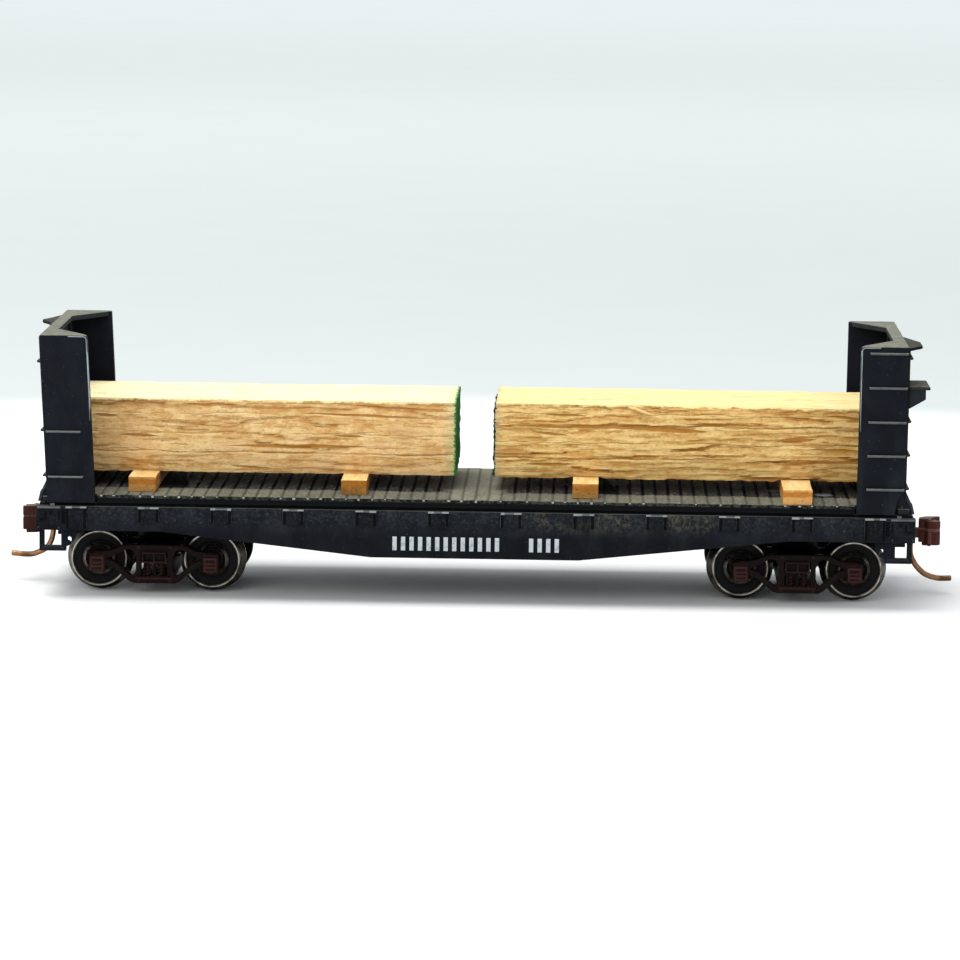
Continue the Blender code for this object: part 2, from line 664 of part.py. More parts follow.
def bearing_cone(axle, face):
    """Tapered recess that receives the pointed end of an axle."""
    profile = ((0.66, face * 5.80), (0.66, face * 6.03), (0.04, face * 6.92))
    mesh = cross_turning(profile, 16)
    bmesh.ops.translate(mesh, vec=Vector((axle, 0, WHEEL_CENTRE)) * MM, verts=mesh.verts)
    return mesh


def truck_frame(name):
    added = [box(-BOLSTER_HALF_WIDTH, BOLSTER_HALF_WIDTH, -5.9, 5.9, 3.32, 4.55)]
    added.append(box(-BOLSTER_END_HALF_WIDTH, BOLSTER_END_HALF_WIDTH, -6.5, 6.5, 3.34, 4.50))
    added.append(box(-BOLSTER_MIDDLE_HALF_WIDTH, BOLSTER_MIDDLE_HALF_WIDTH, -3.3, 3.3, 3.36, 4.48))
    added.append(box(-BOLSTER_HALF_WIDTH, BOLSTER_HALF_WIDTH, -6.2, 6.2, SPRING_PLANK_BOTTOM,
                     SPRING_PLANK_TOP))
    added.append(upright_turning(((CENTRE_BOSS_RADIUS, 3.9), (CENTRE_BOSS_RADIUS, TRUCK_TOP)), 0, 0, 24))
    removed = [upright_turning(((KING_PIN_HOLE, 2.5), (KING_PIN_HOLE, 6.5)), 0, 0, 20)]
    for face in (-1, 1):
        added += side_frame_solids(face)
        for axle in (-AXLE_OFFSET, AXLE_OFFSET):
            removed.append(bearing_cone(axle, face))
    return combined(name, added, removed)


def wheel_profile():
    """Closed (radius, y) loop of the wheel on the +Y side, running outward from the bore."""
    bore = AXLE_RADIUS + RUNNING_FIT
    return (
        (bore, WHEEL_INNER_FACE + 0.25), (2.10, WHEEL_INNER_FACE), (FLANGE_RADIUS - 0.12, WHEEL_INNER_FACE),
        (FLANGE_RADIUS, WHEEL_INNER_FACE + 0.22), (TREAD_RADIUS + 0.06, WHEEL_INNER_FACE + 0.62),
        (TREAD_RADIUS, WHEEL_OUTER_FACE), (TREAD_RADIUS - 0.24, WHEEL_OUTER_FACE),
        (TREAD_RADIUS - 0.34, WHEEL_OUTER_FACE - 0.22), (1.62, WHEEL_OUTER_FACE - 0.22),
        (1.52, WHEEL_OUTER_FACE - 0.02), (bore, WHEEL_OUTER_FACE - 0.02),
    )


def axle_profile():
    return ((0.05, -AXLE_TIP), (AXLE_RADIUS, -AXLE_SHOULDER), (AXLE_RADIUS, -2.6), (AXLE_RADIUS * 0.8, -2.3),
            (AXLE_RADIUS * 0.8, 2.3), (AXLE_RADIUS, 2.6), (AXLE_RADIUS, AXLE_SHOULDER), (0.05, AXLE_TIP))


for side, end_name in ((-1, "left"), (1, "right")):
    centre = side * TRUCK_CENTRE
    shift = Matrix.Translation(Vector((centre, 0, 0)) * MM)
    swivel = joint_empty("truck_swivel_" + end_name, (centre, 0, TRUCK_TOP))
    frame = truck_frame("truck_frame_" + end_name)
    frame.data.transform(shift)
    finish(frame, TRUCK_BROWN, (centre, 0, TRUCK_TOP), parent=swivel)
    pin = upright_turning(((1.15, 2.80), (1.35, 2.92), (1.35, 3.27), (KING_PIN_RADIUS, 3.27),
                           (KING_PIN_RADIUS, 7.5)), centre, 0, 20)
    finish(plain_object("king_pin_" + end_name, pin), BODY_BLACK, smooth=True)
    for outward, axle_name in ((1, "outer"), (-1, "inner")):
        x = centre + side * outward * AXLE_OFFSET
        label = end_name + "_" + axle_name
        hub = (x, 0, WHEEL_CENTRE)
        roll = joint_empty("wheelset_roll_" + label, hub, parent=swivel)
        place = Matrix.Translation(Vector(hub) * MM)
        axle = plain_object("axle_" + label, cross_turning(axle_profile(), 14))
        axle.data.transform(place)
        finish(axle, AXLE_STEEL, hub, smooth=True, parent=roll)
        for face, face_name in ((-1, "near"), (1, "far")):
            wheel_mesh = cross_washer(wheel_profile(), WHEEL_SEGMENTS)
            if face < 0:
                wheel_mesh = mirrored(wheel_mesh, "Y")
            wheel = plain_object("wheel_" + label + "_" + face_name, wheel_mesh)
            wheel.data.transform(place)
            finish(wheel, WHEEL_BLACK, hub, smooth=True, parent=roll)
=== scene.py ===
"""Looks of a small-scale bulkhead flat car with a lumber load.

Geometry is given in millimetres in the row frame and turned into metres when a piece is made.
"""

import math
import random

import bmesh
import bpy
from mathutils import Matrix, Vector, noise


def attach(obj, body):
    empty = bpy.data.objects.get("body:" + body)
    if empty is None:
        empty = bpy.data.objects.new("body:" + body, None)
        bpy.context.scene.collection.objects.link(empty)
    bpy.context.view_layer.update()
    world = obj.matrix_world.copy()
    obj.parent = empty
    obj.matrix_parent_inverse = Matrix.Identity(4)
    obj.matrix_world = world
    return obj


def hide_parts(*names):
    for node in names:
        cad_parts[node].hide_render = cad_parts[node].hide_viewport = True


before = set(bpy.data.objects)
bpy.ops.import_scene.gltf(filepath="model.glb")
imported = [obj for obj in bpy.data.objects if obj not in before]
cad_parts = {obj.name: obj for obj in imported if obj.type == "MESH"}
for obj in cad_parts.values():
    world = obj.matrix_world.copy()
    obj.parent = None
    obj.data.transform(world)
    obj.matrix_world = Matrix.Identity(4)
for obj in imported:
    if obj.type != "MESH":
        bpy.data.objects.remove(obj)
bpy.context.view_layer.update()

MM = 0.001
random.seed(11)

# ---- main dimensions
FLANGE_RADIUS = 3.1
TRUCK_CENTRE, AXLE_OFFSET = 29.67, 5.23
SILL_LENGTH, SILL_FACE, SILL_TOP = 40.15, 10.5, 8.7
SILL_LOW_END, SILL_LOW_MIDDLE = 6.45, 4.37
POCKET_PITCH, POCKETS = 6.63, 12
DECK_TOP, DECK_BOTTOM, DECK_HALF = 9.75, 8.95, 10.2
PLANK_PITCH, PLANKS = 1.18, 58
FOOT, TOP = 9.78, 24.4
FACE_LOW, LEAN_LEFT, LEAN_RIGHT = 39.1, 0.7, 0.1
WING, WALL = 4.36, 0.72
PIVOT_LEFT, PIVOT_RIGHT, REACH = -37.35, 38.0, 5.25
LOAD_LOW, LOAD_TOP, LOAD_NEAR, LOAD_FAR = 11.12, 17.88, -3.8, 8.2
CROSS_BLOCKS = ((-30.7, 2.6, -8.0), (-11.2, 2.42, -8.1), (10.05, 2.45, -8.2), (29.4, 2.75, -10.0))


# ---- solids
def into_scene(name, data):
    item = bpy.data.objects.new(name, data)
    bpy.context.scene.collection.objects.link(item)
    return item


class Shape:
    """Gathers closed solids into one mesh, turned in degrees about Z and then moved."""

    def __init__(self, turn=0.0, move=(0, 0, 0)):
        self.mesh = bmesh.new()
        self.turn, self.move = turn, Vector(move)

    def add(self, part, tone=0.0):
        """Adds a solid; tone is a value kept for each of its faces."""
        layer = part.faces.layers.float.get("tone") or part.faces.layers.float.new("tone")
        for face in part.faces:
            face[layer] = tone
        if self.turn:
            spin = Matrix.Rotation(math.radians(self.turn), 4, "Z")
            bmesh.ops.transform(part, matrix=spin, verts=part.verts)
        bmesh.ops.translate(part, vec=self.move, verts=part.verts)
        data = bpy.data.meshes.new("part")
        part.to_mesh(data)
        part.free()
        self.mesh.from_mesh(data)
        bpy.data.meshes.remove(data)

    def piece(self, name, look, replaced=None, body="car_body", sharp=35):
        """Makes the visible piece; look is a material and its slot, and the slot is not used; replaced is
        its CAD node, which is hidden.
        """
        material, slot = look
        data = bpy.data.meshes.new(name)
        bmesh.ops.scale(self.mesh, vec=(MM, MM, MM), verts=self.mesh.verts)
        self.mesh.to_mesh(data)
        self.mesh.free()
        data.materials.append(material)
        data.shade_smooth()
        data.set_sharp_from_angle(angle=math.radians(sharp))
        item = into_scene(name, data)
        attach(item, body)
        if replaced:
            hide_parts(replaced)


def skin(rings, loop=False):
    """Closed body through rings of equal count; loop joins the last ring to the first."""
    part = bmesh.new()
    rows = [[part.verts.new(point) for point in ring] for ring in rings]
    count = len(rows[0])
    pairs = list(zip(rows, rows[1:]))
    if loop:
        pairs.append((rows[-1], rows[0]))
    for here, there in pairs:
        for i in range(count):
            j = (i + 1) % count
            part.faces.new((here[i], here[j], there[j], there[i]))
    if not loop:
        part.faces.new(tuple(reversed(rows[0])))
        part.faces.new(tuple(rows[-1]))
    bmesh.ops.recalc_face_normals(part, faces=part.faces)
    return part


def soften(part, width, segments=2, angle=25):
    limit = math.radians(angle)
    edges = [e for e in part.edges if len(e.link_faces) == 2 and e.calc_face_angle(0.0) > limit]
    if width > 0 and edges:
        bmesh.ops.bevel(part, geom=edges, offset=width, offset_type="OFFSET", segments=segments,
                        profile=0.5, affect="EDGES", clamp_overlap=True)
    return part


def box(x0, x1, y0, y1, z0, z1, soft=0.05):
    x0, x1 = sorted((x0, x1))
    y0, y1 = sorted((y0, y1))
    return soften(skin([[(x0, y0, z), (x1, y0, z), (x1, y1, z), (x0, y1, z)] for z in (z0, z1)]), soft)


def point(pair, along, axis):
    """Point that is at a distance along X, Y or Z and has the pair as its other two values."""
    at = "XYZ".index(axis)
    return Vector((*pair[:at], along, *pair[at:]))


def prism(outline, axis, a, b, soft=0.05):
    """Outline carried from a to b along an axis: Y takes (x, z), Z takes (x, y), X takes (y, z)."""
    return soften(skin([[point(pair, t, axis) for pair in outline] for t in sorted((a, b))]), soft)


def mirrored(points):
    """Outline whose second half is the mirror image of its first."""
    return [*points, *((-u, v) for u, v in reversed(points))]


def turning(profile, axis, centre, segments=48, loop=False):
    """Body of revolution; profile holds (radius, distance along the axis) pairs."""
    angles = [math.tau * i / segments for i in range(segments)]
    rings = []
    for radius, along in profile:
        pairs = [(radius * math.cos(angle), radius * math.sin(angle)) for angle in angles]
        rings.append([point(pair, along, axis) + Vector(centre) for pair in pairs])
    return skin(rings, loop)


def wire(points, radius, sides=8, end_radius=None):
    """Round bar along a path of points, with rounded-off ends."""
    path = [Vector(p) for p in points]
    rings = []
    side = None
    for i, p in enumerate(path):
        ahead = path[min(i + 1, len(path) - 1)] - path[max(i - 1, 0)]
        ahead.normalize()
        if side is None:
            side = ahead.orthogonal().normalized()
        side = (side - ahead * side.dot(ahead)).normalized()
        up = ahead.cross(side)
        r = radius if end_radius is None or i < len(path) - 1 else end_radius
        rings.append([p + (side * math.cos(math.tau * k / sides) + up * math.sin(math.tau * k / sides)) * r
                      for k in range(sides)])
    return soften(skin(rings), radius * 0.35, 2, 60)


def smooth_path(points, steps=6):
    """Catmull-Rom curve through the points."""
    pts = [Vector(p) for p in points]
    pts = [pts[0] * 2 - pts[1]] + pts + [pts[-1] * 2 - pts[-2]]
    out = []
    for a, b, c, d in zip(pts, pts[1:], pts[2:], pts[3:]):
        for k in range(steps):
            t = k / steps
            out.append(0.5 * (2 * b + (c - a) * t + (2 * a - 5 * b + 4 * c - d) * t * t
                              + (3 * b - a - 3 * c + d) * t ** 3))
    out.append(pts[-2])
    return out


# ---- materials
def rgb(*levels):
    """Linear colour from display levels of 0 to 255."""
    return tuple((c / 255 / 12.92) if c / 255 <= 0.04045 else ((c / 255 + 0.055) / 1.055) ** 2.4
                 for c in levels)


class Field:
    """A node's output; ordinary arithmetic on it adds math nodes."""

    def __init__(self, paint, socket):
        self.paint, self.socket = paint, socket

    def __add__(self, other):
        return self.paint.math("ADD", self, other)

    def __sub__(self, other):
        return self.paint.math("SUBTRACT", self, other)

    def __rsub__(self, other):
        return self.paint.math("SUBTRACT", other, self)

    def __mul__(self, other):
        return self.paint.math("MULTIPLY", self, other)

    def __abs__(self):
        return self.paint.math("ABSOLUTE", self)


class Paint:
    """A Principled material with helpers for patterns measured in millimetres."""

    def __init__(self, name, roughness=0.5, metallic=0.0, specular=0.5):
        self.material = bpy.data.materials.new(name)
        self.material.use_nodes = True
        self.tree = self.material.node_tree
        self.shader = self.tree.nodes["Principled BSDF"]
        self.shader.inputs["Roughness"].default_value = roughness
        self.shader.inputs["Metallic"].default_value = metallic
        self.shader.inputs["Specular IOR Level"].default_value = specular
        where = self.node("ShaderNodeTexCoord", "Object")
        self.place = self.node("ShaderNodeVectorMath", 0, {0: where, "Scale": 1000.0}, operation="SCALE")

    def node(self, kind, output, inputs=None, **settings):
        """Adds a node, fills its inputs and gives one of its outputs."""
        made = self.tree.nodes.new(kind)
        for key, value in settings.items():
            setattr(made, key, value)
        for key, value in (inputs or {}).items():
            self.feed(made.inputs[key], value)
        return Field(self, made.outputs[output])

    def feed(self, socket, value):
        if isinstance(value, Field):
            self.tree.links.new(value.socket, socket)
        elif socket.type == "RGBA":
            socket.default_value = (*value, 1.0)
        else:
            socket.default_value = value

    def math(self, operation, *values):
        return self.node("ShaderNodeMath", 0, dict(enumerate(values)), operation=operation)

    def larger(self, a, b):
        return self.math("MAXIMUM", a, b)

    def stretched(self, stretch, shift):
        return self.node("ShaderNodeMapping", 0, {"Vector": self.place, "Scale": stretch, "Location": shift})

    def noise(self, scale, stretch=(1, 1, 1), detail=3.0, rough=0.55, shift=(0, 0, 0), distort=0.0):
        return self.node("ShaderNodeTexNoise", "Fac", {
            "Vector": self.stretched(stretch, shift), "Scale": scale, "Detail": detail, "Roughness": rough,
            "Distortion": distort})

    def step(self, value, low, high, to_low=0.0, to_high=1.0):
        """Smooth step between two values."""
        return self.node("ShaderNodeMapRange", "Result", {
            "Value": value, "From Min": low, "From Max": high, "To Min": to_low, "To Max": to_high},
            interpolation_type="SMOOTHSTEP")

    def mix(self, factor, a, b):
        return self.node("ShaderNodeMix", 2, {0: factor, 6: a, 7: b}, data_type="RGBA")

    def coat(self, mask, *levels):
        """Lays a colour, given as display levels, over the base where the mask is high."""
        self.base = self.mix(mask, self.base, rgb(*levels))

    def stain(self, pattern, low, high, strength, *levels):
        """Lays a colour over the base where a pattern runs from low to high."""
        self.coat(self.step(pattern, low, high, 0.0, strength), *levels)

    def tint(self, colour, scale):
        return self.node("ShaderNodeVectorMath", 0, {0: colour, 1: scale}, operation="MULTIPLY")

    def part(self, vector, letter):
        return self.node("ShaderNodeSeparateXYZ", letter, {0: vector})

    def axis(self, letter):
        return self.part(self.place, letter)

    def facing(self, letter):
        return self.part(self.node("ShaderNodeNewGeometry", "Normal"), letter)

    def distance(self, point):
        return self.node("ShaderNodeVectorMath", "Value", {0: self.place, 1: point}, operation="DISTANCE")

    def kept(self, name):
        return self.node("ShaderNodeAttribute", "Fac", attribute_name=name)

    def light_and_dark(self):
        """The kept tone as two masks: its values above 0 and its values below 0."""
        tone = self.kept("tone")
        return self.larger(tone, 0.0), self.math("MINIMUM", tone, 0.0) * -1.0

    def edge(self, radius, low=0.02, high=0.25):
        """High on convex and concave edges narrower than the radius, in millimetres."""
        bevel = self.node("ShaderNodeBevel", 0, {"Radius": radius * MM}, samples=4)
        flat = self.node("ShaderNodeNewGeometry", "True Normal")
        return self.step(1.0 - self.node("ShaderNodeVectorMath", "Value", {0: bevel, 1: flat},
                                         operation="DOT_PRODUCT"), low, high)

    def bump(self, height, depth, strength=1.0):
        """Surface relief; depth is in millimetres."""
        settings = {"Height": height, "Distance": depth * MM, "Strength": strength}
        self.feed(self.shader.inputs["Normal"], self.node("ShaderNodeBump", 0, settings))

    def colour(self, value):
        self.feed(self.shader.inputs["Base Color"], value)

    def rough(self, pattern, low, high):
        self.feed(self.shader.inputs["Roughness"], self.step(pattern, 0.3, 0.7, low, high))


def black_paint(name, sill=False):
    """Satin black; tone above 0 is worn to grey, and on the wing beads also a painted highlight that fades
    out downwards; tone below 0 is darker and without dust, painting shade into recesses such as the slots
    beside the stake pockets.
    """
    p = Paint(name, specular=0.04)
    broad = p.noise(0.3, detail=4.0)
    fine = p.noise(6.0, detail=3.0)
    p.base = p.mix(broad, rgb(15, 17, 21), rgb(23, 26, 34))
    speck = p.step(p.noise(3.6, detail=2.0, shift=(3, 1, 8)), 0.66, 0.76)
    p.coat(speck * 0.22, 84, 88, 90)
    haze = p.step(p.noise(0.8, (0.6, 0.6, 0.3), 5.0, 0.6), 0.4, 0.8, 0.0, 0.16)
    haze = haze * p.step(p.axis("Z"), 19.0, 12.0, 0.4, 1.0)
    p.coat(haze, 72, 78, 74)
    light, dark = p.light_and_dark()
    if sill:
        band = p.step(p.axis("Z"), 6.4, 8.2)
        mottle = p.step(p.noise(4.2, (1.0, 1.0, 1.0), 5.0, 0.75, (2, 8, 3)), 0.46, 0.64)
        p.coat(mottle * band * 0.16, 92, 100, 98)
        near = p.step(p.axis("X"), 3.0, 7.0) * p.step(p.axis("X"), 22.6, 21.8)
        patch = p.step(p.noise(0.22, (1, 1, 2.0), 3.0, 0.5, (4.0, 0, 0)), 0.4, 0.56)
        streaks = p.step(p.noise(3.2, (1.0, 1.0, 0.8), 5.0, 0.7, (5, 5, 5)), 0.42, 0.66)
        stain = band * patch * (streaks * near)
        p.coat(stain * 0.42, 104, 98, 80)
        scuff = p.step(p.noise(1.8, (1, 1, 1.6), 5.0, 0.7, (1, 9, 4)), 0.65, 0.72, 0.0, 0.3)
        p.coat(scuff * band, 112, 116, 108)
        p.coat(marking(p), 214, 224, 228)
        rim = p.edge(0.06) * p.step(p.noise(0.9, detail=3.0, shift=(7, 1, 2)), 0.42, 0.66)
        p.coat(rim * 0.38, 120, 126, 126)
        p.stain(p.axis("Z"), 6.9, 6.0, 0.35, 6, 7, 8)
    else:
        rim = p.edge(0.05) * p.step(p.noise(1.4, detail=3.0), 0.42, 0.7)
        p.coat(rim * 0.3, 100, 105, 104)
    # Painted highlight on the wing beads (tone above 0.72, above the deck): full at the top, fading to a
    # tenth between z 19.4 and 15.6; the rest is worn grey paint.
    height = p.step(p.axis("Z"), 15.6, 19.4, 0.1, 1.0)
    high = p.step(light, 0.6, 0.72) * p.step(p.axis("Z"), 9.1, 9.3)
    highlight_fade = 1.0 - high * (1.0 - height)
    worn = p.math("POWER", light, 1.5) * p.step(p.noise(1.1, detail=3.0), 0.2, 0.6, 0.6, 1.0)
    p.coat(worn * highlight_fade, 150, 160, 160)
    # painted shade: tone below 0 darkens to near black
    p.coat(dark, 5, 6, 7)
    up = p.step(p.facing("Z"), 0.55, 0.92)
    dust = up * p.step(p.noise(1.6, detail=4.0), 0.25, 0.7, 0.55, 0.9)
    dust = dust * (1.0 - dark * 0.9) * (0.25 if sill else 1.0)
    dust_colour = p.mix(p.noise(0.7, detail=3.0, shift=(4, 4, 4)), rgb(104, 106, 94), rgb(146, 145, 128))
    p.colour(p.mix(dust, p.base, dust_colour))
    p.rough(fine, 0.58, 0.78)
    p.bump(fine + broad * 2.0, 0.012, 0.6)
    return p.material


def marking(p):
    """Plain upright white bars in two short rows low on the sill."""
    along, height = p.axis("X"), p.axis("Z")
    rows = p.larger(p.step(along, -7.72, -7.68) * p.step(along, 2.44, 2.4),
                    p.step(along, 4.88, 4.92) * p.step(along, 8.02, 7.98))
    phase = p.math("FRACT", (along + 7.7) * (1 / 0.78))
    bar = p.step(abs(phase - 0.5), 0.27, 0.23)
    band = p.step(height, 5.06, 5.1) * p.step(height, 6.36, 6.32)
    wear = p.step(p.noise(3.0, detail=4.0, shift=(2, 2, 2)), 0.3, 0.5, 0.6, 1.0)
    outside = p.step(abs(p.axis("Y")), 10.44, 10.48)
    return rows * bar * (band * wear) * outside


def deck_paint():
    """Planks: grey dust along both edges and between the loads; under the loads no dust, dark with open
    joints, with painted shadow near the loads' front and painted bounce light further under.
    """
    p = Paint("deck_grey", roughness=0.9, specular=0.04)
    tone = p.kept("tone")
    grain = p.noise(1.4, (1.6, 0.35, 1.0), 5.0, 0.6)
    dusty = p.noise(0.3, (1.0, 0.8, 1.0), 4.0, 0.6, (4, 2, 0))
    fine = p.noise(7.0, detail=2.0)
    crumbs = p.noise(3.2, detail=5.0, rough=0.7)
    # base under the dust: dark at the front, lighter from y -4.6 to 1.4 under the loads: painted shadow
    # turning into painted bounce light
    deep = p.step(p.axis("Y"), -4.6, 1.4)
    p.base = p.mix(tone, rgb(30, 30, 29), rgb(44, 44, 42))
    p.base = p.mix(deep, p.base, p.mix(tone, rgb(122, 117, 104), rgb(150, 144, 130)))
    p.stain(grain, 0.46, 0.66, 0.5, 26, 27, 27)
    p.stain(crumbs, 0.54, 0.62, 0.4, 150, 148, 140)
    up = p.step(p.facing("Z"), 0.5, 0.9) * p.step(p.axis("Z"), DECK_TOP - 0.25, DECK_TOP - 0.15)
    reach = abs(p.axis("Y"))
    wave = (p.noise(0.9, detail=4.0) - 0.5) * 1.2
    border = p.step(reach + wave, 4.9, 5.9, 0.0, 0.68)
    along = abs(p.axis("X") + wave * 0.6)
    middle = p.step(along, 2.0, 3.2, 0.98, 0.0)
    thin = p.step(dusty, 0.3, 0.6, 0.72, 1.0)
    cover = p.larger(border, middle) * thin * p.step(crumbs, 0.36, 0.52, 0.66, 1.0)
    p.coat(cover * up, 124, 122, 106)
    crust = p.step(crumbs, 0.58, 0.66, 0.0, 0.5) * p.step(cover, 0.3, 0.6)
    p.coat(crust * up, 158, 157, 141)
    # ragged dark notches along both long edges: painted shade in the gaps between the plank ends
    frayed = reach + (p.noise(1.5, detail=4.0) - 0.5) * 1.4
    p.stain(frayed, 10.0, 10.2, 0.8, 34, 36, 34)
    phase = p.math("FRACT", p.axis("X") * (1 / PLANK_PITCH) + 0.5)
    joint = p.step(abs(phase - 0.5), 0.15, 0.1)
    joint = joint * p.step(cover, 0.3, 0.1, 0.32, 0.95)
    p.coat(joint * up, 7, 7, 8)
    for x, y, radius in ((-27.2, 0.6, 1.0), (-26.3, -0.9, 0.6), (8.2, 0.6, 0.85), (13.0, 2.2, 1.2),
                         (27.6, -1.3, 0.8), (32.0, -3.3, 0.8)):
        ragged = p.distance((x, y, DECK_TOP)) + p.noise(1.8, detail=4.0) * 1.6
        p.stain(ragged, radius + 0.95, radius + 0.75, 0.85, 136, 141, 146)
    # painted shadows cast by cross blocks 1 and 3 onto the deck to their right, under the loads
    for x0, x1 in ((-29.4, -26.4), (11.2, 13.4)):
        drift = (p.noise(1.2, detail=4.0) - 0.5) * 0.9
        run = p.axis("X") + (drift + p.axis("Y") * 0.12)
        patch = p.step(run, x0 - 0.9, x0 - 0.7) * p.step(run, x1 - 0.7, x1 - 0.9)
        patch = patch * p.step(p.axis("Y"), -5.2, -4.7)
        p.coat(patch * 0.92, 9, 9, 10)
    flank = p.mix(fine, rgb(7, 8, 9), rgb(20, 23, 24))
    lip = p.step(p.axis("Z"), DECK_TOP - 0.34, DECK_TOP - 0.24) * p.step(crumbs, 0.42, 0.56)
    flank = p.mix(lip * 0.6, flank, rgb(70, 72, 66))
    p.base = p.mix(up, flank, p.base)
    tip = p.step(reach, 9.95, 10.1) * p.step(tone, 0.97, 0.99)
    p.colour(p.mix(tip, p.base, p.mix(fine, rgb(120, 122, 112), rgb(176, 177, 164))))
    p.rough(fine, 0.72, 0.95)
    p.bump(fine + crumbs + grain * 1.2, 0.05, 0.9)
    return p.material


def scratch(p, wobble, x0, z0, x1, z1, width):
    """Long torn mark from (x0, z0) to (x1, z1), thickest in its middle."""
    along, height = p.axis("X"), p.axis("Z")
    centre, half, slope = (x0 + x1) / 2, (x1 - x0) / 2, (z1 - z0) / (x1 - x0)
    place = (along - centre) * (1 / half)
    level = p.math("MULTIPLY_ADD", along - x0, slope, z0)
    off = abs(height + wobble - level)
    room = (1.0 - place * place) * width
    return p.step(room - off, 0.0, width * 0.45)


def lumber(name, end, inward, paint, lines, scratches, tint, spread, top_light, torn):
    """Rough-sawn block; its inner end is painted and the paint creeps over the edges."""
    p = Paint(name, specular=0.15)
    height = p.axis("Z")
    wob = (p.noise(0.5, (0.5, 1, 0.2), 4.0, 0.6) - 0.5) * 0.7
    broad = p.noise(0.5, (0.22, 1.0, 1.0), 4.0, 0.6)
    patch = p.noise(0.8, (0.35, 1.0, 1.3), 5.0, 0.7, (3, 0, 2))
    fibre = p.noise(4.5, (0.1, 1.0, 1.0), 4.0, 0.65, (5, 0, 0))
    blotch = p.noise(0.35, (0.45, 1, 1), 3.0, 0.6, (9, 9, 1))
    grit = p.noise(5.5, (0.5, 1, 1), 3.0, 0.6)
    deep = p.kept("relief")
    p.base = p.mix(p.step(broad, 0.36, 0.62), rgb(238, 206, 152), rgb(222, 184, 124))
    p.stain(patch, 0.53, 0.57, 0.55, 200, 154, 96)
    p.stain(patch, 0.44, 0.4, 0.6, 244, 218, 168)
    p.stain(fibre, 0.5, 0.72, 0.35, 176, 126, 68)
    p.stain(grit, 0.55, 0.63, 0.45, 166, 118, 64)
    mottle = p.noise(1.7, (0.5, 1.0, 1.0), 4.0, 0.6, (2, 7, 5))
    p.stain(mottle, 0.54, 0.57, 0.5, 196, 144, 82)
    p.stain(mottle, 0.42, 0.39, 0.5, 248, 222, 172)
    p.stain(blotch, 0.54, 0.7, 0.5 * torn, 206, 150, 70)
    # darker towards the bottom of the sides, most on the torn block: painted shade
    p.stain(height, 13.4, 11.4, 0.15 + 0.25 * torn, 150, 112, 56)
    # by relief: the outermost grain lighter as a painted highlight, the deep grain darker as painted shade
    # in the recesses
    p.stain(deep, 0.16, 0.02, 0.55 * torn, 250, 226, 168)
    p.stain(deep, 0.42, 0.62, 0.3 + 0.35 * torn, 178, 120, 54)
    p.stain(deep, 0.62, 0.85, 0.4 + 0.3 * torn, 120, 76, 30)
    spots = p.stretched((0.36, 0.05, 0.72), (6, 2, 7))
    squares = p.node("ShaderNodeTexVoronoi", "Color", {"Vector": spots, "Scale": 1.0}, distance="CHEBYCHEV")
    rows = p.step(p.part(squares, "X"), 0.68, 0.7) * p.step(grit, 0.34, 0.5, 0.6, 1.0)
    p.coat(rows * (0.5 * (1.0 - torn)), 204, 152, 92)
    pale = p.step(p.part(squares, "Y"), 0.66, 0.68) * (0.45 * (1.0 - torn))
    p.coat(pale, 240, 204, 158)
    glint = 0.0
    thread = p.noise(2.6, (0.07, 1.0, 1.1), 3.0, 0.6, (8, 1, 4))
    cut = p.step(thread, 0.6, 0.63, 0.0, 0.55)
    for level, width, strength in lines:
        drift = height + wob - level
        line = p.step(abs(drift), width, width * 0.4)
        gap = p.step(p.noise(0.22, (1, 1, 1), 3.0, 0.6, (level, level, 0)), 0.38, 0.5)
        cut = p.larger(cut, line * gap * strength)
        lit = p.step(drift, -width * 0.9, -width * 1.3) * p.step(drift, -width * 3.2, -width * 1.8)
        glint = p.larger(glint, lit * gap)
    for mark in scratches:
        cut = p.larger(cut, scratch(p, wob * 0.5, *mark))
    p.coat(glint * 0.6, 250, 228, 176)
    dark = p.mix(broad, rgb(184, 122, 36), rgb(140, 88, 26))
    p.base = p.mix(cut * 0.85, p.base, dark)
    # along the top edge: a painted shadow just under it and the light top colour running down over it as a
    # painted highlight
    lip = height + (p.noise(1.6, (0.5, 1, 0.3), 5.0, 0.7) - 0.5) * 0.9
    shadow = p.step(lip, LOAD_TOP - 0.55, LOAD_TOP - 0.35) * p.step(fibre, 0.4, 0.58)
    p.coat(shadow * 0.55, 150, 96, 40)
    p.coat(p.step(lip, LOAD_TOP - 0.22, LOAD_TOP - 0.1), 250, 232, 180)
    # upward faces take a lighter top colour and the sides are darkened by tint: partly the wood's own
    # colour, partly painted light from above
    up = p.step(p.facing("Z"), 0.6, 0.9)
    top = p.mix(p.step(fibre, 0.46, 0.74), top_light, rgb(236, 204, 140))
    # painted shade: deep grain on the top darker
    top = p.mix(p.step(deep, 0.55, 0.8, 0.0, 0.6), top, rgb(222, 176, 104))
    top = p.mix(p.step(blotch, 0.5, 0.75, 0.0, 0.3), top, rgb(244, 212, 158))
    wood = p.mix(up, p.tint(p.base, tint), top)
    ragged = (p.noise(3.0, (1, 1, 1.6), 4.0, 0.7) - 0.5) * 0.9
    depth = (end - p.axis("X")) * inward
    wash = p.step(depth + ragged * 2.0, spread * 4.0, spread, 0.0, 0.4)
    wood = p.mix(wash, wood, p.mix(fibre, rgb(222, 226, 186), paint))
    coat = p.step(p.facing("X") * inward, 0.55, 0.75)
    coat = p.larger(coat, p.step(depth + ragged, spread, spread * 0.6))
    p.colour(p.mix(coat, wood, p.mix(fibre, paint, tuple(c * 0.4 for c in paint))))
    p.rough(fibre, 0.7, 0.92)
    height_map = fibre + (patch + grit * 0.8)
    p.bump(height_map - cut * 1.2, 0.05 + 0.04 * torn, 1.0)
    return p.material


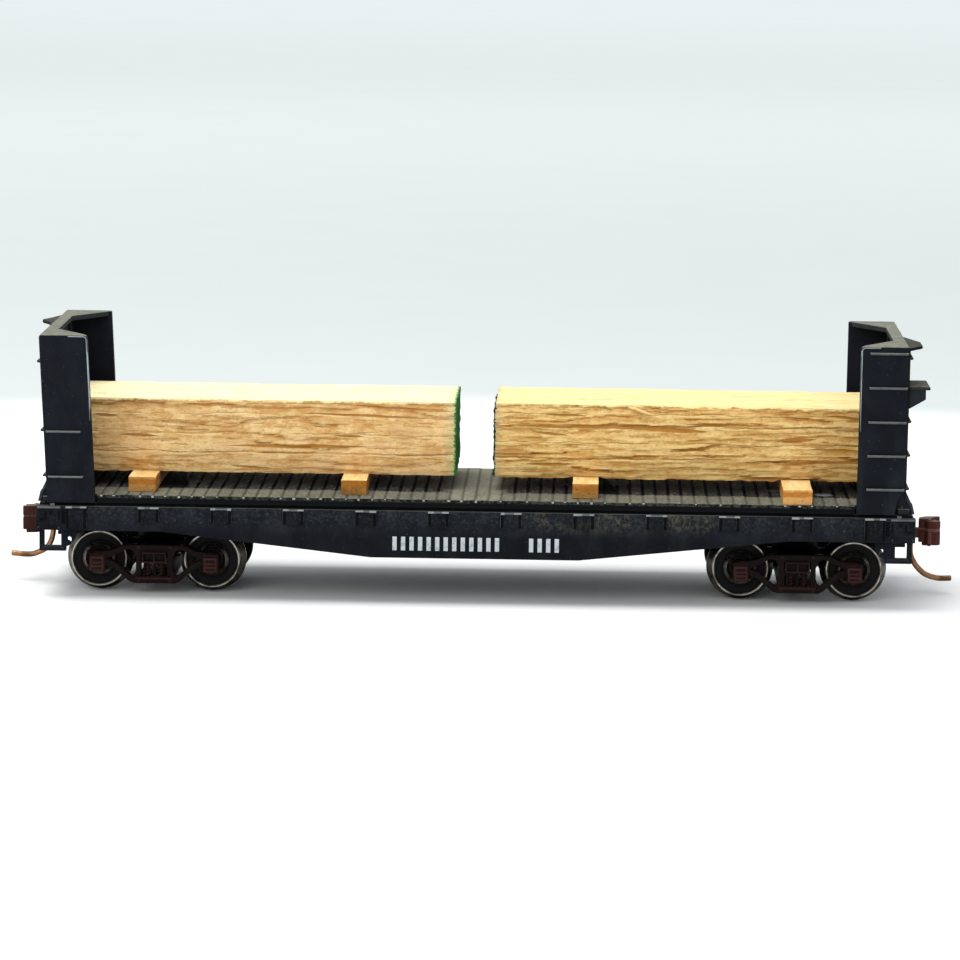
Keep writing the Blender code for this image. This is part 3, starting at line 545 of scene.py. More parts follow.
def block_wood():
    p = Paint("dunnage_wood", specular=0.1)
    height = p.axis("Z")
    ring = p.noise(1.5, (1.0, 0.12, 1.0), 4.0, 0.6, distort=0.6)
    fibre = p.noise(6.0, (0.5, 0.15, 1.6), 3.0)
    p.base = p.mix(p.kept("tone"), rgb(126, 90, 44), rgb(196, 150, 92))
    p.stain(ring, 0.38, 0.64, 0.55, 190, 134, 66)
    p.stain(fibre, 0.48, 0.72, 0.55, 146, 92, 38)
    level = height + (p.noise(1.2, detail=4.0) - 0.5) * 0.5
    band = p.step(level, 10.38, 10.52) * p.step(level, 10.98, 10.86)
    p.base = p.mix(band * 0.8, p.base, p.mix(fibre, rgb(190, 120, 34), rgb(128, 70, 16)))
    fleck = p.step(p.noise(3.4, detail=2.0, shift=(1, 6, 2)), 0.64, 0.7)
    p.coat(fleck * 0.8, 84, 46, 20)
    # top faces much lighter than the sides: painted light from above
    up = p.step(p.facing("Z"), 0.6, 0.9)
    top = p.mix(p.step(ring, 0.35, 0.65), rgb(240, 208, 146), rgb(218, 180, 114))
    p.colour(p.mix(up * 0.85, p.base, top))
    p.rough(fibre, 0.68, 0.86)
    p.bump(ring + fibre, 0.04, 0.9)
    return p.material


def truck_paint():
    p = Paint("truck_brown", specular=0.07)
    broad = p.noise(0.8, detail=4.0)
    fine = p.noise(6.0, detail=2.0)
    light, dark = p.light_and_dark()
    p.base = p.mix(broad, rgb(13, 7, 7), rgb(23, 12, 12))
    # tone above 0: the redder journal boxes, and painted highlights on their lid ribs
    p.coat(light, 68, 37, 34)
    # painted highlights along the bar edges
    rim = p.edge(0.06) * p.step(p.noise(1.7, detail=3.0), 0.35, 0.62)
    p.coat(rim * 0.3, 112, 76, 70)
    up = p.step(p.facing("Z"), 0.6, 0.95)
    p.coat(up * 0.14, 92, 64, 58)
    # tone below 0 is painted shade, near black
    p.colour(p.mix(dark, p.base, rgb(8, 6, 6)))
    p.rough(fine, 0.42, 0.62)
    p.bump(fine + broad, 0.012, 0.6)
    return p.material


def coupler_paint():
    p = Paint("coupler_brown", specular=0.1)
    broad = p.noise(1.2, detail=3.0)
    fine = p.noise(7.0, detail=2.0)
    p.base = p.mix(broad, rgb(52, 25, 20), rgb(82, 40, 32))
    rim = p.edge(0.07) * p.step(fine, 0.3, 0.6, 0.3, 0.7)
    p.coat(rim, 150, 112, 102)
    up = p.step(p.facing("Z"), 0.6, 0.95)
    p.coat(up * 0.45, 150, 132, 124)
    light, dark = p.light_and_dark()
    # painted shade for tone below 0
    p.coat(dark, 16, 9, 8)
    p.colour(p.mix(light, p.base, rgb(140, 104, 96)))
    p.rough(fine, 0.4, 0.6)
    p.bump(fine, 0.01, 0.6)
    return p.material


def wheel_paint():
    p = Paint("wheel_black", metallic=0.1, specular=0.1)
    fine = p.noise(5.0, detail=3.0)
    p.base = p.mix(p.noise(0.9, detail=3.0), rgb(8, 8, 8), rgb(20, 19, 19))
    p.colour(p.mix(p.step(fine, 0.62, 0.78, 0.0, 0.22), p.base, rgb(70, 60, 54)))
    p.rough(fine, 0.45, 0.65)
    p.bump(fine, 0.008, 0.5)
    return p.material


def steel(name, light, dark, low=0.22, high=0.42):
    p = Paint(name, metallic=1.0)
    brushed = p.noise(2.0, detail=4.0)
    grime = p.step(p.noise(0.7, detail=5.0, shift=(2, 5, 1)), 0.44, 0.62, 0.0, 0.85)
    p.colour(p.mix(grime, p.mix(brushed, light, tuple(c * 0.75 for c in light)), dark))
    p.rough(brushed, low, high)
    p.bump(p.noise(9.0, detail=2.0), 0.004, 0.4)
    return p.material


# each look is a material and its slot
BLACK = black_paint("body_black"), "body_black"
SILL = black_paint("body_black_sill", sill=True), "body_black"
DECK = deck_paint(), "deck_grey"
WOOD_LEFT = lumber(
    "lumber_left", end=-1.87, inward=1.0, paint=rgb(46, 128, 50),
    lines=((14.75, 0.07, 0.4), (12.98, 0.08, 0.6), (16.55, 0.06, 0.3)),
    scratches=(
        (-23.9, 13.53, -9.0, 13.62, 0.2), (-33.5, 14.5, -29.3, 14.3, 0.16),
        (-27.5, 17.45, -21.9, 17.3, 0.16), (-23.0, 11.62, -18.9, 11.48, 0.14),
        (-16.9, 16.66, -3.4, 16.36, 0.13), (-35.8, 16.3, -33.2, 16.2, 0.18),
        (-13.6, 14.68, -10.3, 14.52, 0.12), (-12.0, 17.45, -4.0, 17.2, 0.12)),
    tint=(0.92, 0.88, 0.8), spread=0.34, top_light=rgb(250, 236, 190), torn=0.35), "lumber"
WOOD_RIGHT = lumber(
    "lumber_right", end=1.45, inward=-1.0, paint=rgb(20, 48, 26),
    lines=((15.95, 0.09, 0.8), (12.85, 0.09, 0.8), (14.3, 0.05, 0.5), (17.0, 0.05, 0.45)),
    scratches=(
        (1.8, 15.84, 20.0, 15.7, 0.17), (14.0, 15.8, 21.5, 15.42, 0.3), (18.9, 16.15, 26.5, 16.15, 0.12),
        (5.0, 15.3, 8.6, 14.95, 0.15), (25.0, 12.85, 36.9, 12.7, 0.17), (27.3, 14.75, 31.5, 14.85, 0.26),
        (4.3, 12.25, 9.2, 12.28, 0.15), (17.6, 13.78, 21.0, 13.7, 0.13), (30.5, 13.95, 35.6, 13.91, 0.12),
        (32.0, 17.1, 36.4, 16.8, 0.14), (6.0, 16.95, 10.2, 16.82, 0.13)),
    tint=(0.89, 0.83, 0.64), spread=0.22, top_light=rgb(238, 216, 156), torn=1.0), "lumber"
BLOCK = block_wood(), "dunnage_wood"
TRUCK = truck_paint(), "truck_brown"
COUPLER = coupler_paint(), "coupler_brown"
WHEEL = wheel_paint(), "wheel_black"
RIM = steel("wheel_rim", rgb(176, 172, 160), rgb(84, 78, 72)), "axle_steel"
TREAD = steel("wheel_tread", rgb(104, 100, 94), rgb(30, 27, 25), 0.25, 0.45), "axle_steel"
AXLE = steel("axle_steel", rgb(120, 112, 102), rgb(44, 36, 30), 0.3, 0.5), "axle_steel"
COPPER = steel("pin_copper", rgb(150, 112, 82), rgb(78, 54, 38), 0.25, 0.45), "pin_copper"


# ---- underframe
def build_underframe():
    s = Shape()
    outline = mirrored(((SILL_LENGTH, SILL_TOP), (SILL_LENGTH, SILL_LOW_END), (28.8, SILL_LOW_END),
                        (9.5, SILL_LOW_MIDDLE)))
    for face in (-1, 1):
        def plate(x0, x1, z0, z1, proud, tone=0.0, soft=0.03):
            s.add(box(x0, x1, face * (SILL_FACE - 0.1), face * (SILL_FACE + proud), z0, z1, soft), tone)

        s.add(prism(outline, "Y", face * 9.75, face * SILL_FACE))
        for i in range(POCKETS):
            x = (i - (POCKETS - 1) / 2) * POCKET_PITCH
            low = SILL_LOW_END + 0.12 if i in (0, POCKETS - 1) else SILL_TOP - 1.46
            for k in (-1, 1):
                # dark strips at the pocket's sides, tone -0.95: painted shadow
                plate(x + k * 0.66, x + k * 0.93, low + 0.1, SILL_TOP - 0.13, 0.27, -0.95, 0.0)
                edge_wear = random.uniform(0.02, 0.22)
                plate(x + k * 0.92, x + k * 0.97, low + 0.15, SILL_TOP - 0.12, 0.12, edge_wear)
                start, drop = random.uniform(0.1, 0.6), random.uniform(0.1, 0.17)
                plate(x + k * start, x + k * 0.95, SILL_TOP - drop, SILL_TOP - 0.01, 0.34, 0.8)
            plate(x - 0.7, x + 0.7, low, SILL_TOP - 0.1, 0.26, -0.35, 0.06)
            plate(x - 0.95, x + 0.95, SILL_TOP - 0.13, SILL_TOP - 0.03, 0.32, 0.4)
        for end in (-1, 1):
            plate(end * 37.8, end * 40.13, SILL_LOW_END + 0.04, SILL_TOP - 0.08, 0.12, -0.5, 0.06)
            plate(end * 37.9, end * 40.05, SILL_TOP - 0.22, SILL_TOP - 0.05, 0.17, 0.42)
            plate(end * 38.42, end * 38.86, SILL_TOP - 0.05, SILL_TOP + 0.24, 0.1, 0.35, 0.08)
            for x0, x1, z0, z1, proud in ((39.13, 39.38, 7.4, 8.2, 0.13), (38.62, 38.95, 7.92, 8.2, 0.13),
                                          (39.38, 39.85, 7.32, 7.6, 0.13), (37.9, 38.12, 7.4, 8.28, 0.13),
                                          (37.44, 37.78, 7.05, 8.42, 0.015)):
                plate(end * x0, end * x1, z0, z1, proud, -0.9, 0.0)
            plate(end * 38.2, end * 39.05, 7.0, 7.8, 0.15, -0.3, 0.08)
            plate(end * 39.1, end * 39.9, 6.66, 7.16, 0.15, -0.3, 0.08)
            for x in (38.05, 39.95):
                plate(end * x - 0.1, end * x + 0.1, 6.6, 6.8, 0.2, 0.12, 0.05)
    s.piece("underframe_sills", SILL, "underframe")


def build_floor():
    s = Shape()
    s.add(box(-39.9, 39.9, -9.85, 9.85, 7.95, 8.92, 0.04), -0.6)
    centre = mirrored(((36.6, 8.15), (36.6, 6.75), (18.0, 6.75), (9.5, 4.9)))
    for y in (-1.4, 1.05):
        s.add(prism(centre, "Y", y, y + 0.35, 0.04))
    s.add(box(-36.5, 36.5, -1.2, 1.2, 7.3, 8.1, 0.04))
    end_sill = mirrored(((10.3, 8.62), (10.3, 6.52), (1.95, 6.52), (1.95, 6.9)))
    bolster = mirrored(((9.9, 8.1), (9.9, 7.35), (2.4, 6.6)))
    centre_plate = ((2.1, 5.95), (2.2, 6.05), (2.2, 7.9), (0.9, 7.9), (0.9, 5.95))
    for side in (-1, 1):
        s.add(prism(end_sill, "X", side * 39.45, side * 40.08, 0.06))
        rivet = ((0.16, side * 40.05), (0.16, side * 40.13), (0.08, side * 40.17))
        for y in (-8.2, -6.0, -3.8, 3.8, 6.0, 8.2):
            s.add(turning(rivet, "X", (0, y, 7.6), 8))
        s.add(box(side * 35.9, side * 40.0, -1.9, 1.9, 6.73, 8.1))
        c = side * TRUCK_CENTRE
        s.add(prism(bolster, "X", c - 0.95, c + 0.95))
        s.add(turning(centre_plate, "Z", (c, 0, 0), 40, True))
        for bearer in (6.63, 16.57):
            x = side * bearer
            s.add(box(x - 0.4, x + 0.4, -9.8, 9.8, 6.8, 8.1))
        for bearer in (3.3, 9.95, 13.3, 19.9, 23.2):
            x = side * bearer
            s.add(box(x - 0.18, x + 0.18, -9.8, 9.8, 7.45, 8.0, 0.04))
    s.piece("underframe_floor", BLACK)


# ---- deck
def build_deck():
    s = Shape()
    s.add(box(-34.6, 34.6, -DECK_HALF + 0.04, DECK_HALF - 0.04, DECK_BOTTOM, DECK_TOP - 0.06, 0.03), 0.001)
    for face in (-1, 1):
        s.add(box(-34.6, 34.6, face * (DECK_HALF - 0.3), face * (DECK_HALF + 0.03), DECK_BOTTOM + 0.02,
                  DECK_BOTTOM + 0.26), 0.3)
    for i in range(PLANKS):
        x = (i - PLANKS / 2) * PLANK_PITCH
        lift = random.uniform(-0.035, 0.0)
        gap = random.uniform(0.012, 0.025)
        near = -DECK_HALF + random.uniform(0.0, 0.05)
        far = DECK_HALF - random.uniform(0.0, 0.05)
        s.add(box(x + gap, x + PLANK_PITCH - gap, near, far, DECK_TOP - 0.3, DECK_TOP + lift, 0.015),
              random.uniform(0.05, 0.95))
        for face in (-1, 1):
            slip, wide = random.uniform(-0.08, 0.08), random.uniform(0.07, 0.13)
            drop = random.uniform(0.1, 0.22)
            s.add(box(x + slip - wide, x + slip + wide, face * (DECK_HALF - 0.1), face * (DECK_HALF + 0.02),
                      DECK_TOP - drop, DECK_TOP - 0.03, 0.03), 1.0 if random.random() < 0.7 else 0.3)
    for side in (-1, 1):
        x = side * 34.25
        while abs(x) < 38.6:
            width = min(PLANK_PITCH, 39.0 - abs(x))
            s.add(box(x + side * 0.06, x + side * (width - 0.06), -9.58, 9.58, DECK_BOTTOM,
                      DECK_TOP - random.uniform(0.0, 0.03), 0.035), random.uniform(0.1, 0.8))
            x += side * width
    s.piece("deck_planks", DECK, "deck")


# ---- bulkheads
def face_x(z, lean):
    """Place of a bulkhead's outer face at a height."""
    return FACE_LOW + lean * max(0.0, z - FOOT) / (TOP - FOOT)


def build_bulkhead(name, turn, lean):
    s = Shape(turn)

    def wall(x0, x1, y0, y1, z0, z1, soft):
        """Box that leans outward with height."""
        part = box(x0, x1, y0, y1, z0, z1, soft)
        for v in part.verts:
            v.co.x += face_x(v.co.z, lean) - FACE_LOW
        s.add(part)

    top = TOP - 0.015
    head = face_x(top, lean)
    for face in (-1, 1):
        radius = 0.28 if (face < 0) == (turn == 0) else 0.12
        corner = [(head - WING + radius - radius * math.sin(math.radians(15 * i)),
                   top - radius + radius * math.cos(math.radians(15 * i))) for i in range(7)]
        if face < 0:
            foot = [(38.2, 9.02), (38.45, 10.45), (face_x(11.3, lean) - 0.01, 11.3)]
        else:
            foot = [(FACE_LOW, 9.02)]
        wing = [(FACE_LOW - WING, 9.02), *foot, (head, top), *corner]
        s.add(prism(wing, "Y", face * (SILL_FACE - WALL), face * SILL_FACE))
        # thin bead along the wing's inner edge, tone 1: partly worn paint, partly a painted highlight on the
        # rounded corner, faded out downwards in black_paint
        bead = [(face_x(16.6, lean) - WING + 0.13, 16.6), (face_x(18.5, lean) - WING + 0.095, 18.5)]
        bead += [(x + 0.085, z - 0.1) for x, z in reversed(corner)] + [(head - 2.6, top - 0.09)]
        s.add(wire([(x, face * (SILL_FACE - 0.085), z) for x, z in bead], 0.1), 1.0)
        brace = ((38.8, 11.3), (38.8, 9.9), (39.06, 9.9), (39.06, 8.96), (40.1, 8.96), (39.95, 9.6),
                 (39.15, 11.3))
        s.add(prism(brace, "Y", face * 9.0, face * 9.5, 0.04), 0.12)
        rod = [(38.95, face * 9.25, 10.9), (39.72, face * 9.62, 9.85), (39.9, face * 9.62, 9.05)]
        s.add(wire(rod, 0.16), 0.2)
        s.add(box(38.5, 39.6, face * 9.55, face * 10.05, 9.02, 9.5, 0.08), 0.08)
    wall(FACE_LOW - WALL, FACE_LOW - 0.015, -9.85, 9.85, FOOT, TOP - 0.3, 0.04)
    cap_outer, cap_inner = face_x(TOP, lean) - 0.02, face_x(TOP, lean) - WING + 0.28
    edge, half, side = SILL_FACE - WALL - 0.02, 5.3, SILL_FACE - 0.03
    middle = face_x(TOP, lean) - 1.15
    cap = ((cap_outer, -side), (cap_outer, side), (cap_inner, side), (cap_inner, edge - 0.2), (middle, half),
           (middle, -half), (cap_inner, -edge + 0.2), (cap_inner, -side))
    s.add(prism(cap, "Z", TOP - 0.45, TOP), 0.14)
    for y in (-5.2, 0.0, 5.2):
        wall(FACE_LOW - WALL - 0.28, FACE_LOW - WALL + 0.05, y - 0.25, y + 0.25, FOOT, TOP - 0.4, 0.06)
    for y in (-9.6, -3.3, 3.3, 9.6):
        wall(FACE_LOW - 0.05, FACE_LOW + 0.14, y - 0.3, y + 0.3, FOOT, TOP - 0.2, 0.05)
    for z in (FOOT + 5.0, FOOT + 10.0):
        wall(FACE_LOW - 0.05, FACE_LOW + 0.1, -9.4, 9.4, z - 0.2, z + 0.2, 0.05)
    for z in (23.8, 20.65, 17.52, 14.43, 11.36):
        x = face_x(z, lean) - 0.1
        for bracket in (x, x - 3.34):
            s.add(box(bracket - 0.12, bracket + 0.02, -SILL_FACE - 0.34, -SILL_FACE + 0.05,
                      z - 0.1, z + 0.1, 0.03), 0.1)
        s.add(box(x - 3.46, x, -SILL_FACE - 0.41, -SILL_FACE - 0.17, z - 0.1, z + 0.1, 0.07), 0.4)
    for z in (15.58, 11.42):
        x = face_x(z, lean) - 0.2
        s.add(wire([(x, SILL_FACE - 0.1, z), (x, SILL_FACE + 0.28, z), (x - 3.1, SILL_FACE + 0.28, z),
                    (x - 3.1, SILL_FACE - 0.1, z)], 0.1), 0.46)
    for y, levels in ((-10.1, (23.3, 17.52, 14.43, 11.36)), (7.1, (21.9, 15.58, 11.42))):
        for z in levels:
            x = face_x(z, lean)
            s.add(wire([(x - 0.1, y, z), (x + 0.28, y, z + 0.04), (x + 0.28, y + 3.0, z + 0.04),
                        (x - 0.1, y + 3.0, z)], 0.12), 0.15)
    s.piece(f"bulkhead_{name}_shell", BLACK, "bulkhead_" + name)


def build_end_details():
    for side, name, lean, points in (
        (1, "right", LEAN_RIGHT, ((0, -1.3), (1.3, -5.4), (1.3, -8.4), (0, -10.4))),
        (-1, "left", LEAN_LEFT, ((0, 6.8), (0.75, 4.4), (1.35, 2.9), (1.2, 2.3), (0.45, 1.0), (0, -0.8))),
    ):
        s = Shape()
        x = face_x(24.3, lean) + 0.02
        s.add(prism([(side * (x + a), b) for a, b in points], "Z", 24.12, 24.32), -0.8)
        s.add(wire([(side * (x + a * 0.93), b * 0.98 - 0.05, 24.12) for a, b in points], 0.1), -0.85)
        s.piece("ledge_" + name, BLACK, "end_ledge_" + name)
    s = Shape()
    x = face_x(20.8, LEAN_RIGHT) + 0.02
    for k in range(7):
        y = -10.18 + k * 0.72
        s.add(box(x, x + 1.97, y, y + 0.64, 20.52, 20.76, 0.04), -0.35)
    s.add(box(x, x + 0.2, -10.2, -5.2, 20.47, 20.7, 0.03))
    s.add(box(x + 1.75, x + 1.99, -10.2, -5.2, 20.47, 20.72), 0.05)
    s.add(box(x, x + 1.98, -10.2, -10.02, 20.47, 20.7), 0.12)
    bracket = ((x, 20.55), (x, 18.75), (x + 0.15, 18.75), (x + 1.6, 19.6), (x + 1.6, 20.55))
    inner = [(a * 0.8 + x * 0.2 + 0.08, b * 0.8 + 3.95) for a, b in bracket]
    for y in (-10.05, -5.9):
        s.add(prism(bracket, "Y", y, y + 0.45), 0.06)
        s.add(prism(inner, "Y", y - 0.02, y + 0.47, 0.03), 0.1)
    s.piece("brake_platform", BLACK, "brake_step")


def build_stirrups():
    web = ((36.5, 6.43), (36.55, 5.65), (36.86, 5.26), (36.94, 5.7), (37.02, 5.82), (37.2, 5.82),
           (37.28, 5.7), (37.24, 5.52), (37.06, 5.46), (36.9, 5.2), (37.0, 5.1), (37.5, 4.85), (37.5, 6.43))
    for end, end_name in ((-1, "left"), (1, "right")):
        for face, face_name in ((-1, "near"), (1, "far")):
            s = Shape()
            for x0, x1 in ((37.4, 38.35 if end > 0 else 37.88), (39.4, 39.88)):
                s.add(box(end * x0, end * x1, face * 9.97, face * 10.33, 4.6, 6.43, 0.07), -0.3)
            s.add(box(end * 37.4, end * 39.88, face * 9.95, face * 10.35, 4.5, 5.04, 0.09), -0.2)
            s.add(box(end * 37.65, end * 39.65, face * 10.3, face * 10.37, 4.66, 4.9, 0.03), 0.05)
            s.add(prism([(end * x, z) for x, z in web], "Y", face * 10.02, face * 10.28, 0.03), -0.3)
            s.piece(f"step_{end_name}_{face_name}", BLACK, f"stirrup_{end_name}_{face_name}")


# ---- lumber
def splinters(along, across, seed, rows):
    """Torn grain: overlapping scales that stand out at their lower edge; 1 is the deepest."""
    drift = 1.1 * noise.noise(Vector((along * 0.1, across * 0.5, seed)))
    drift += 0.35 * noise.noise(Vector((along * 0.45, across * 1.1, seed + 5)))
    level = across * rows + drift
    row = math.floor(level)
    length = 0.16 + 0.1 * noise.cell(Vector((row, seed, 3.5)))
    scale = math.floor(along * length + 7.0 * noise.cell(Vector((row, seed, 0.5))))
    deep = 0.5 + 0.5 * noise.cell(Vector((row, scale, seed)))
    ripple = 0.12 * noise.noise(Vector((along * 0.9, across * 5.0, seed)))
    return max(0.0, min(1.0, (0.15 + 0.85 * deep) * (level - row) ** 1.5 + ripple))


def overhang(x):
    """1 where the underside is free, 0 over a cross block."""
    free = 1.0
    for centre, width, _ in CROSS_BLOCKS:
        free = min(free, max(0.0, abs(x - centre) - width / 2 - 0.1) / 0.4)
    return free


def rough_block(x0, x1, y0, y1, z0, z1, cell, depth, seed, rows=0.0, slant=0.0, hang=0.0):
    """Box with a fine mesh whose faces are pushed in unevenly; rows gives torn grain along X."""
    counts = [max(2, round(length / size)) for length, size in zip((x1 - x0, y1 - y0, z1 - z0), cell)]
    part = bmesh.new()
    relief = part.verts.layers.float.new("relief")
    verts = {}

    def depth_at(axis, p):
        if rows and axis:
            across, number = (p.z, rows) if axis == 1 else (p.y, rows * 0.6)
            return splinters(p.x, across, seed + axis * 3, number)
        q = Vector((p.x * 0.35, p.y * 1.5, p.z * 1.5)) if axis else p * 1.1
        wave = noise.fractal(q + Vector((seed, seed * 2, axis * 7)), 0.8, 2.0, 3)
        return 0.5 + 0.5 * max(-1, min(1, wave))

    def vert(i, j, k):
        if (i, j, k) not in verts:
            p = Vector((x0 + (x1 - x0) * i / counts[0], y0 + (y1 - y0) * j / counts[1],
                        z0 + (z1 - z0) * k / counts[2]))
            push = Vector((0, 0, 0))
            low = 0.0
            for axis, index in enumerate((i, j, k)):
                if index in (0, counts[axis]):
                    value = depth_at(axis, p)
                    low = max(low, value)
                    push[axis] += (1 if index == 0 else -1) * value * depth * (1.8, 1.0, 0.5)[axis]
            if i == 0:
                push.x += slant * j / counts[1]
            if k == 0:
                ragged = 0.6 + 0.4 * noise.noise(Vector((p.x * 1.3, seed, 0)))
                push.z -= hang * ragged * overhang(p.x) * max(0.0, 1.0 - (p.y - y0) / 1.2)
            verts[i, j, k] = part.verts.new(p + push)
            verts[i, j, k][relief] = low
        return verts[i, j, k]

    for axis in range(3):
        u, v = (axis + 1) % 3, (axis + 2) % 3
        for side in (0, counts[axis]):
            for a in range(counts[u]):
                for b in range(counts[v]):
                    corners = []
                    for more_a, more_b in ((0, 0), (1, 0), (1, 1), (0, 1)):
                        key = [side] * 3
                        key[u], key[v] = a + more_a, b + more_b
                        corners.append(vert(*key))
                    part.faces.new(corners)
    bmesh.ops.recalc_face_normals(part, faces=part.faces)
    return part


def build_lumber():
    for name, x0, x1, look, seed, depth, rows, slant, hang in (
        ("left", -37.6, -1.87, WOOD_LEFT, 1.3, 0.12, 1.0, 0.0, 0.12),
        ("right", 1.35, 37.6, WOOD_RIGHT, 4.1, 0.2, 1.5, 0.3, 0.26),
    ):
        s = Shape()
        cell = (0.34, 0.4, 0.125)
        s.add(rough_block(x0, x1, LOAD_NEAR, LOAD_FAR, LOAD_LOW, LOAD_TOP,
                          cell, depth, seed, rows, slant, hang))
        if name == "right":
            sliver = ((13.8, LOAD_NEAR + 0.05, 17.7), (15.2, LOAD_NEAR - 0.12, 17.3),
                      (17.3, LOAD_NEAR + 0.02, 16.5))
            s.add(wire(sliver, 0.16, 6, 0.03), 1.0)
        s.piece("lumber_" + name, look, "load_" + name, "lumber_" + name, 50)
    for i, (x, width, near) in enumerate(CROSS_BLOCKS):
        s = Shape()
        cell = (0.22, 0.22, 0.17)
        s.add(rough_block(x - width / 2, x + width / 2, near, 8.8, DECK_TOP + 0.005, LOAD_LOW - 0.005,
                          cell, 0.06, 9.0 + i), (0.5, 0.05, 0.3, 0.95)[i])
        s.piece(f"cross_block_{i + 1}", BLOCK, f"dunnage_{i + 1}", sharp=50)


# ---- couplers
def build_coupler(name, pivot, turn, painted_shade, path):
    """Coupler whose jaw faces +X before it is turned; path is the uncoupling pin's, as (x, z)."""
    def shape():
        return Shape(turn, (pivot, 0, 0))

    body = "coupler_" + name
    s = shape()
    for y in (-1.6, 1.28):
        s.add(box(-1.35, 1.95, y, y + 0.32, 4.95, 6.7))
    s.add(box(-1.35, 1.95, -1.6, 1.6, 6.38, 6.7))
    s.add(box(-1.35, -1.03, -1.6, 1.6, 4.95, 6.7))
    s.add(turning(((0.45, 4.97), (0.45, 6.5)), "Z", (0, 0, 0), 24))
    s.piece("draft_box_" + name, BLACK, "coupler_box_" + name)
    s = shape()
    s.add(box(-1.35, 1.9, -1.6, 1.6, 4.61, 4.93, 0.06))
    s.add(box(0.9, 1.8, -0.9, 0.9, 4.575, 4.65, 0.03))
    s.piece("draft_lid_" + name, BLACK, "coupler_lid_" + name)
    s = shape()
    screw = ((0.36, 4.29), (0.5, 4.34), (0.55, 4.44), (0.55, 4.59), (0.22, 4.59), (0.22, 6.0))
    s.add(turning(screw, "Z", (0, 0, 0), 32))
    s.piece("draft_screw_" + name, AXLE, "coupler_screw_" + name)
    s = shape()
    s.add(turning(((0.52, 5.37), (0.95, 5.37), (0.95, 6.23), (0.52, 6.23)), "Z", (0, 0, 0), 40, True))
    s.add(box(0.75, 3.5, -0.42, 0.42, 5.35, 6.25, 0.06))
    jaw = [(REACH + x, y) for x, y in (
        (-2.1, -0.45), (-1.6, -0.62), (-0.9, -0.62), (-0.8, 0.25), (-0.4, 0.62), (0, 0.8), (-0.05, 1.25),
        (-1.35, 1.05), (-1.95, 0.5))]
    foot = [(REACH - 0.95 + (x - REACH + 0.95) * 0.7, y * 0.8) for x, y in jaw]
    # painted shade: the jaw's tone darkens it, most on the left coupler
    s.add(prism(foot, "Z", 4.62, 5.05, 0.1), painted_shade)
    s.add(prism(jaw, "Z", 4.95, 6.18, 0.1), painted_shade)
    s.add(prism(jaw, "Z", 6.28, 7.18, 0.07), painted_shade * 0.6)
    s.add(prism([(x * 0.985 + 0.05, y * 0.88) for x, y in jaw], "Z", 6.1, 6.35, 0.03), 0.4)
    s.add(turning(((0.34, 4.56), (0.34, 4.66), (0.2, 4.7)), "Z", (2.5, 0, 0.8), 24))
    s.piece("coupler_jaw_" + name, COUPLER, "coupler_head_" + name, body)
    s = shape()
    claw = [(REACH + x, y) for x, y in (
        (-1.55, -0.66), (-0.83, -0.66), (-0.75, -0.15), (-0.43, -0.12), (-0.35, -0.52), (-0.05, -0.62),
        (-0.1, -1.0), (-0.5, -1.22), (-1.25, -1.12))]
    s.add(prism(claw, "Z", 4.76, 6.08, 0.09))
    s.add(prism(claw, "Z", 6.3, 7.04, 0.09))
    s.add(prism([(x * 0.99 + 0.03, y * 0.93) for x, y in claw], "Z", 6.0, 6.4, 0.04), 0.35)
    s.add(turning(((0.16, 4.66), (0.16, 7.12), (0.08, 7.16)), "Z", (REACH - 1.1, -0.88, 0), 16))
    s.add(box(REACH - 1.2, REACH - 0.95, -1.22, -1.0, 4.95, 5.95, 0.06), 0.15)
    s.piece("coupler_claw_" + name, COUPLER, "knuckle_" + name, body)
    s = shape()
    s.add(wire(smooth_path([(x, 0, z) for x, z in path]), 0.265, 14))
    s.piece("uncoupling_pin_" + name, COPPER, "trip_pin_" + name, body)


# ---- trucks
TRUCK_ARCH = mirrored((
    (2.2, 4.22), (2.7, 4.14), (3.6, 3.66), (4.4, 3.28), (6.05, 3.2), (5.85, 3.8), (5.3, 3.98), (4.6, 3.98),
    (3.8, 4.12), (2.95, 4.52), (2.4, 4.62)))
TRUCK_TIE = mirrored((
    (1.7, 1.52), (2.1, 1.66), (3.6, 2.98), (4.55, 3.3), (4.6, 2.62), (3.75, 2.42), (2.3, 1.22), (1.9, 1.06)))


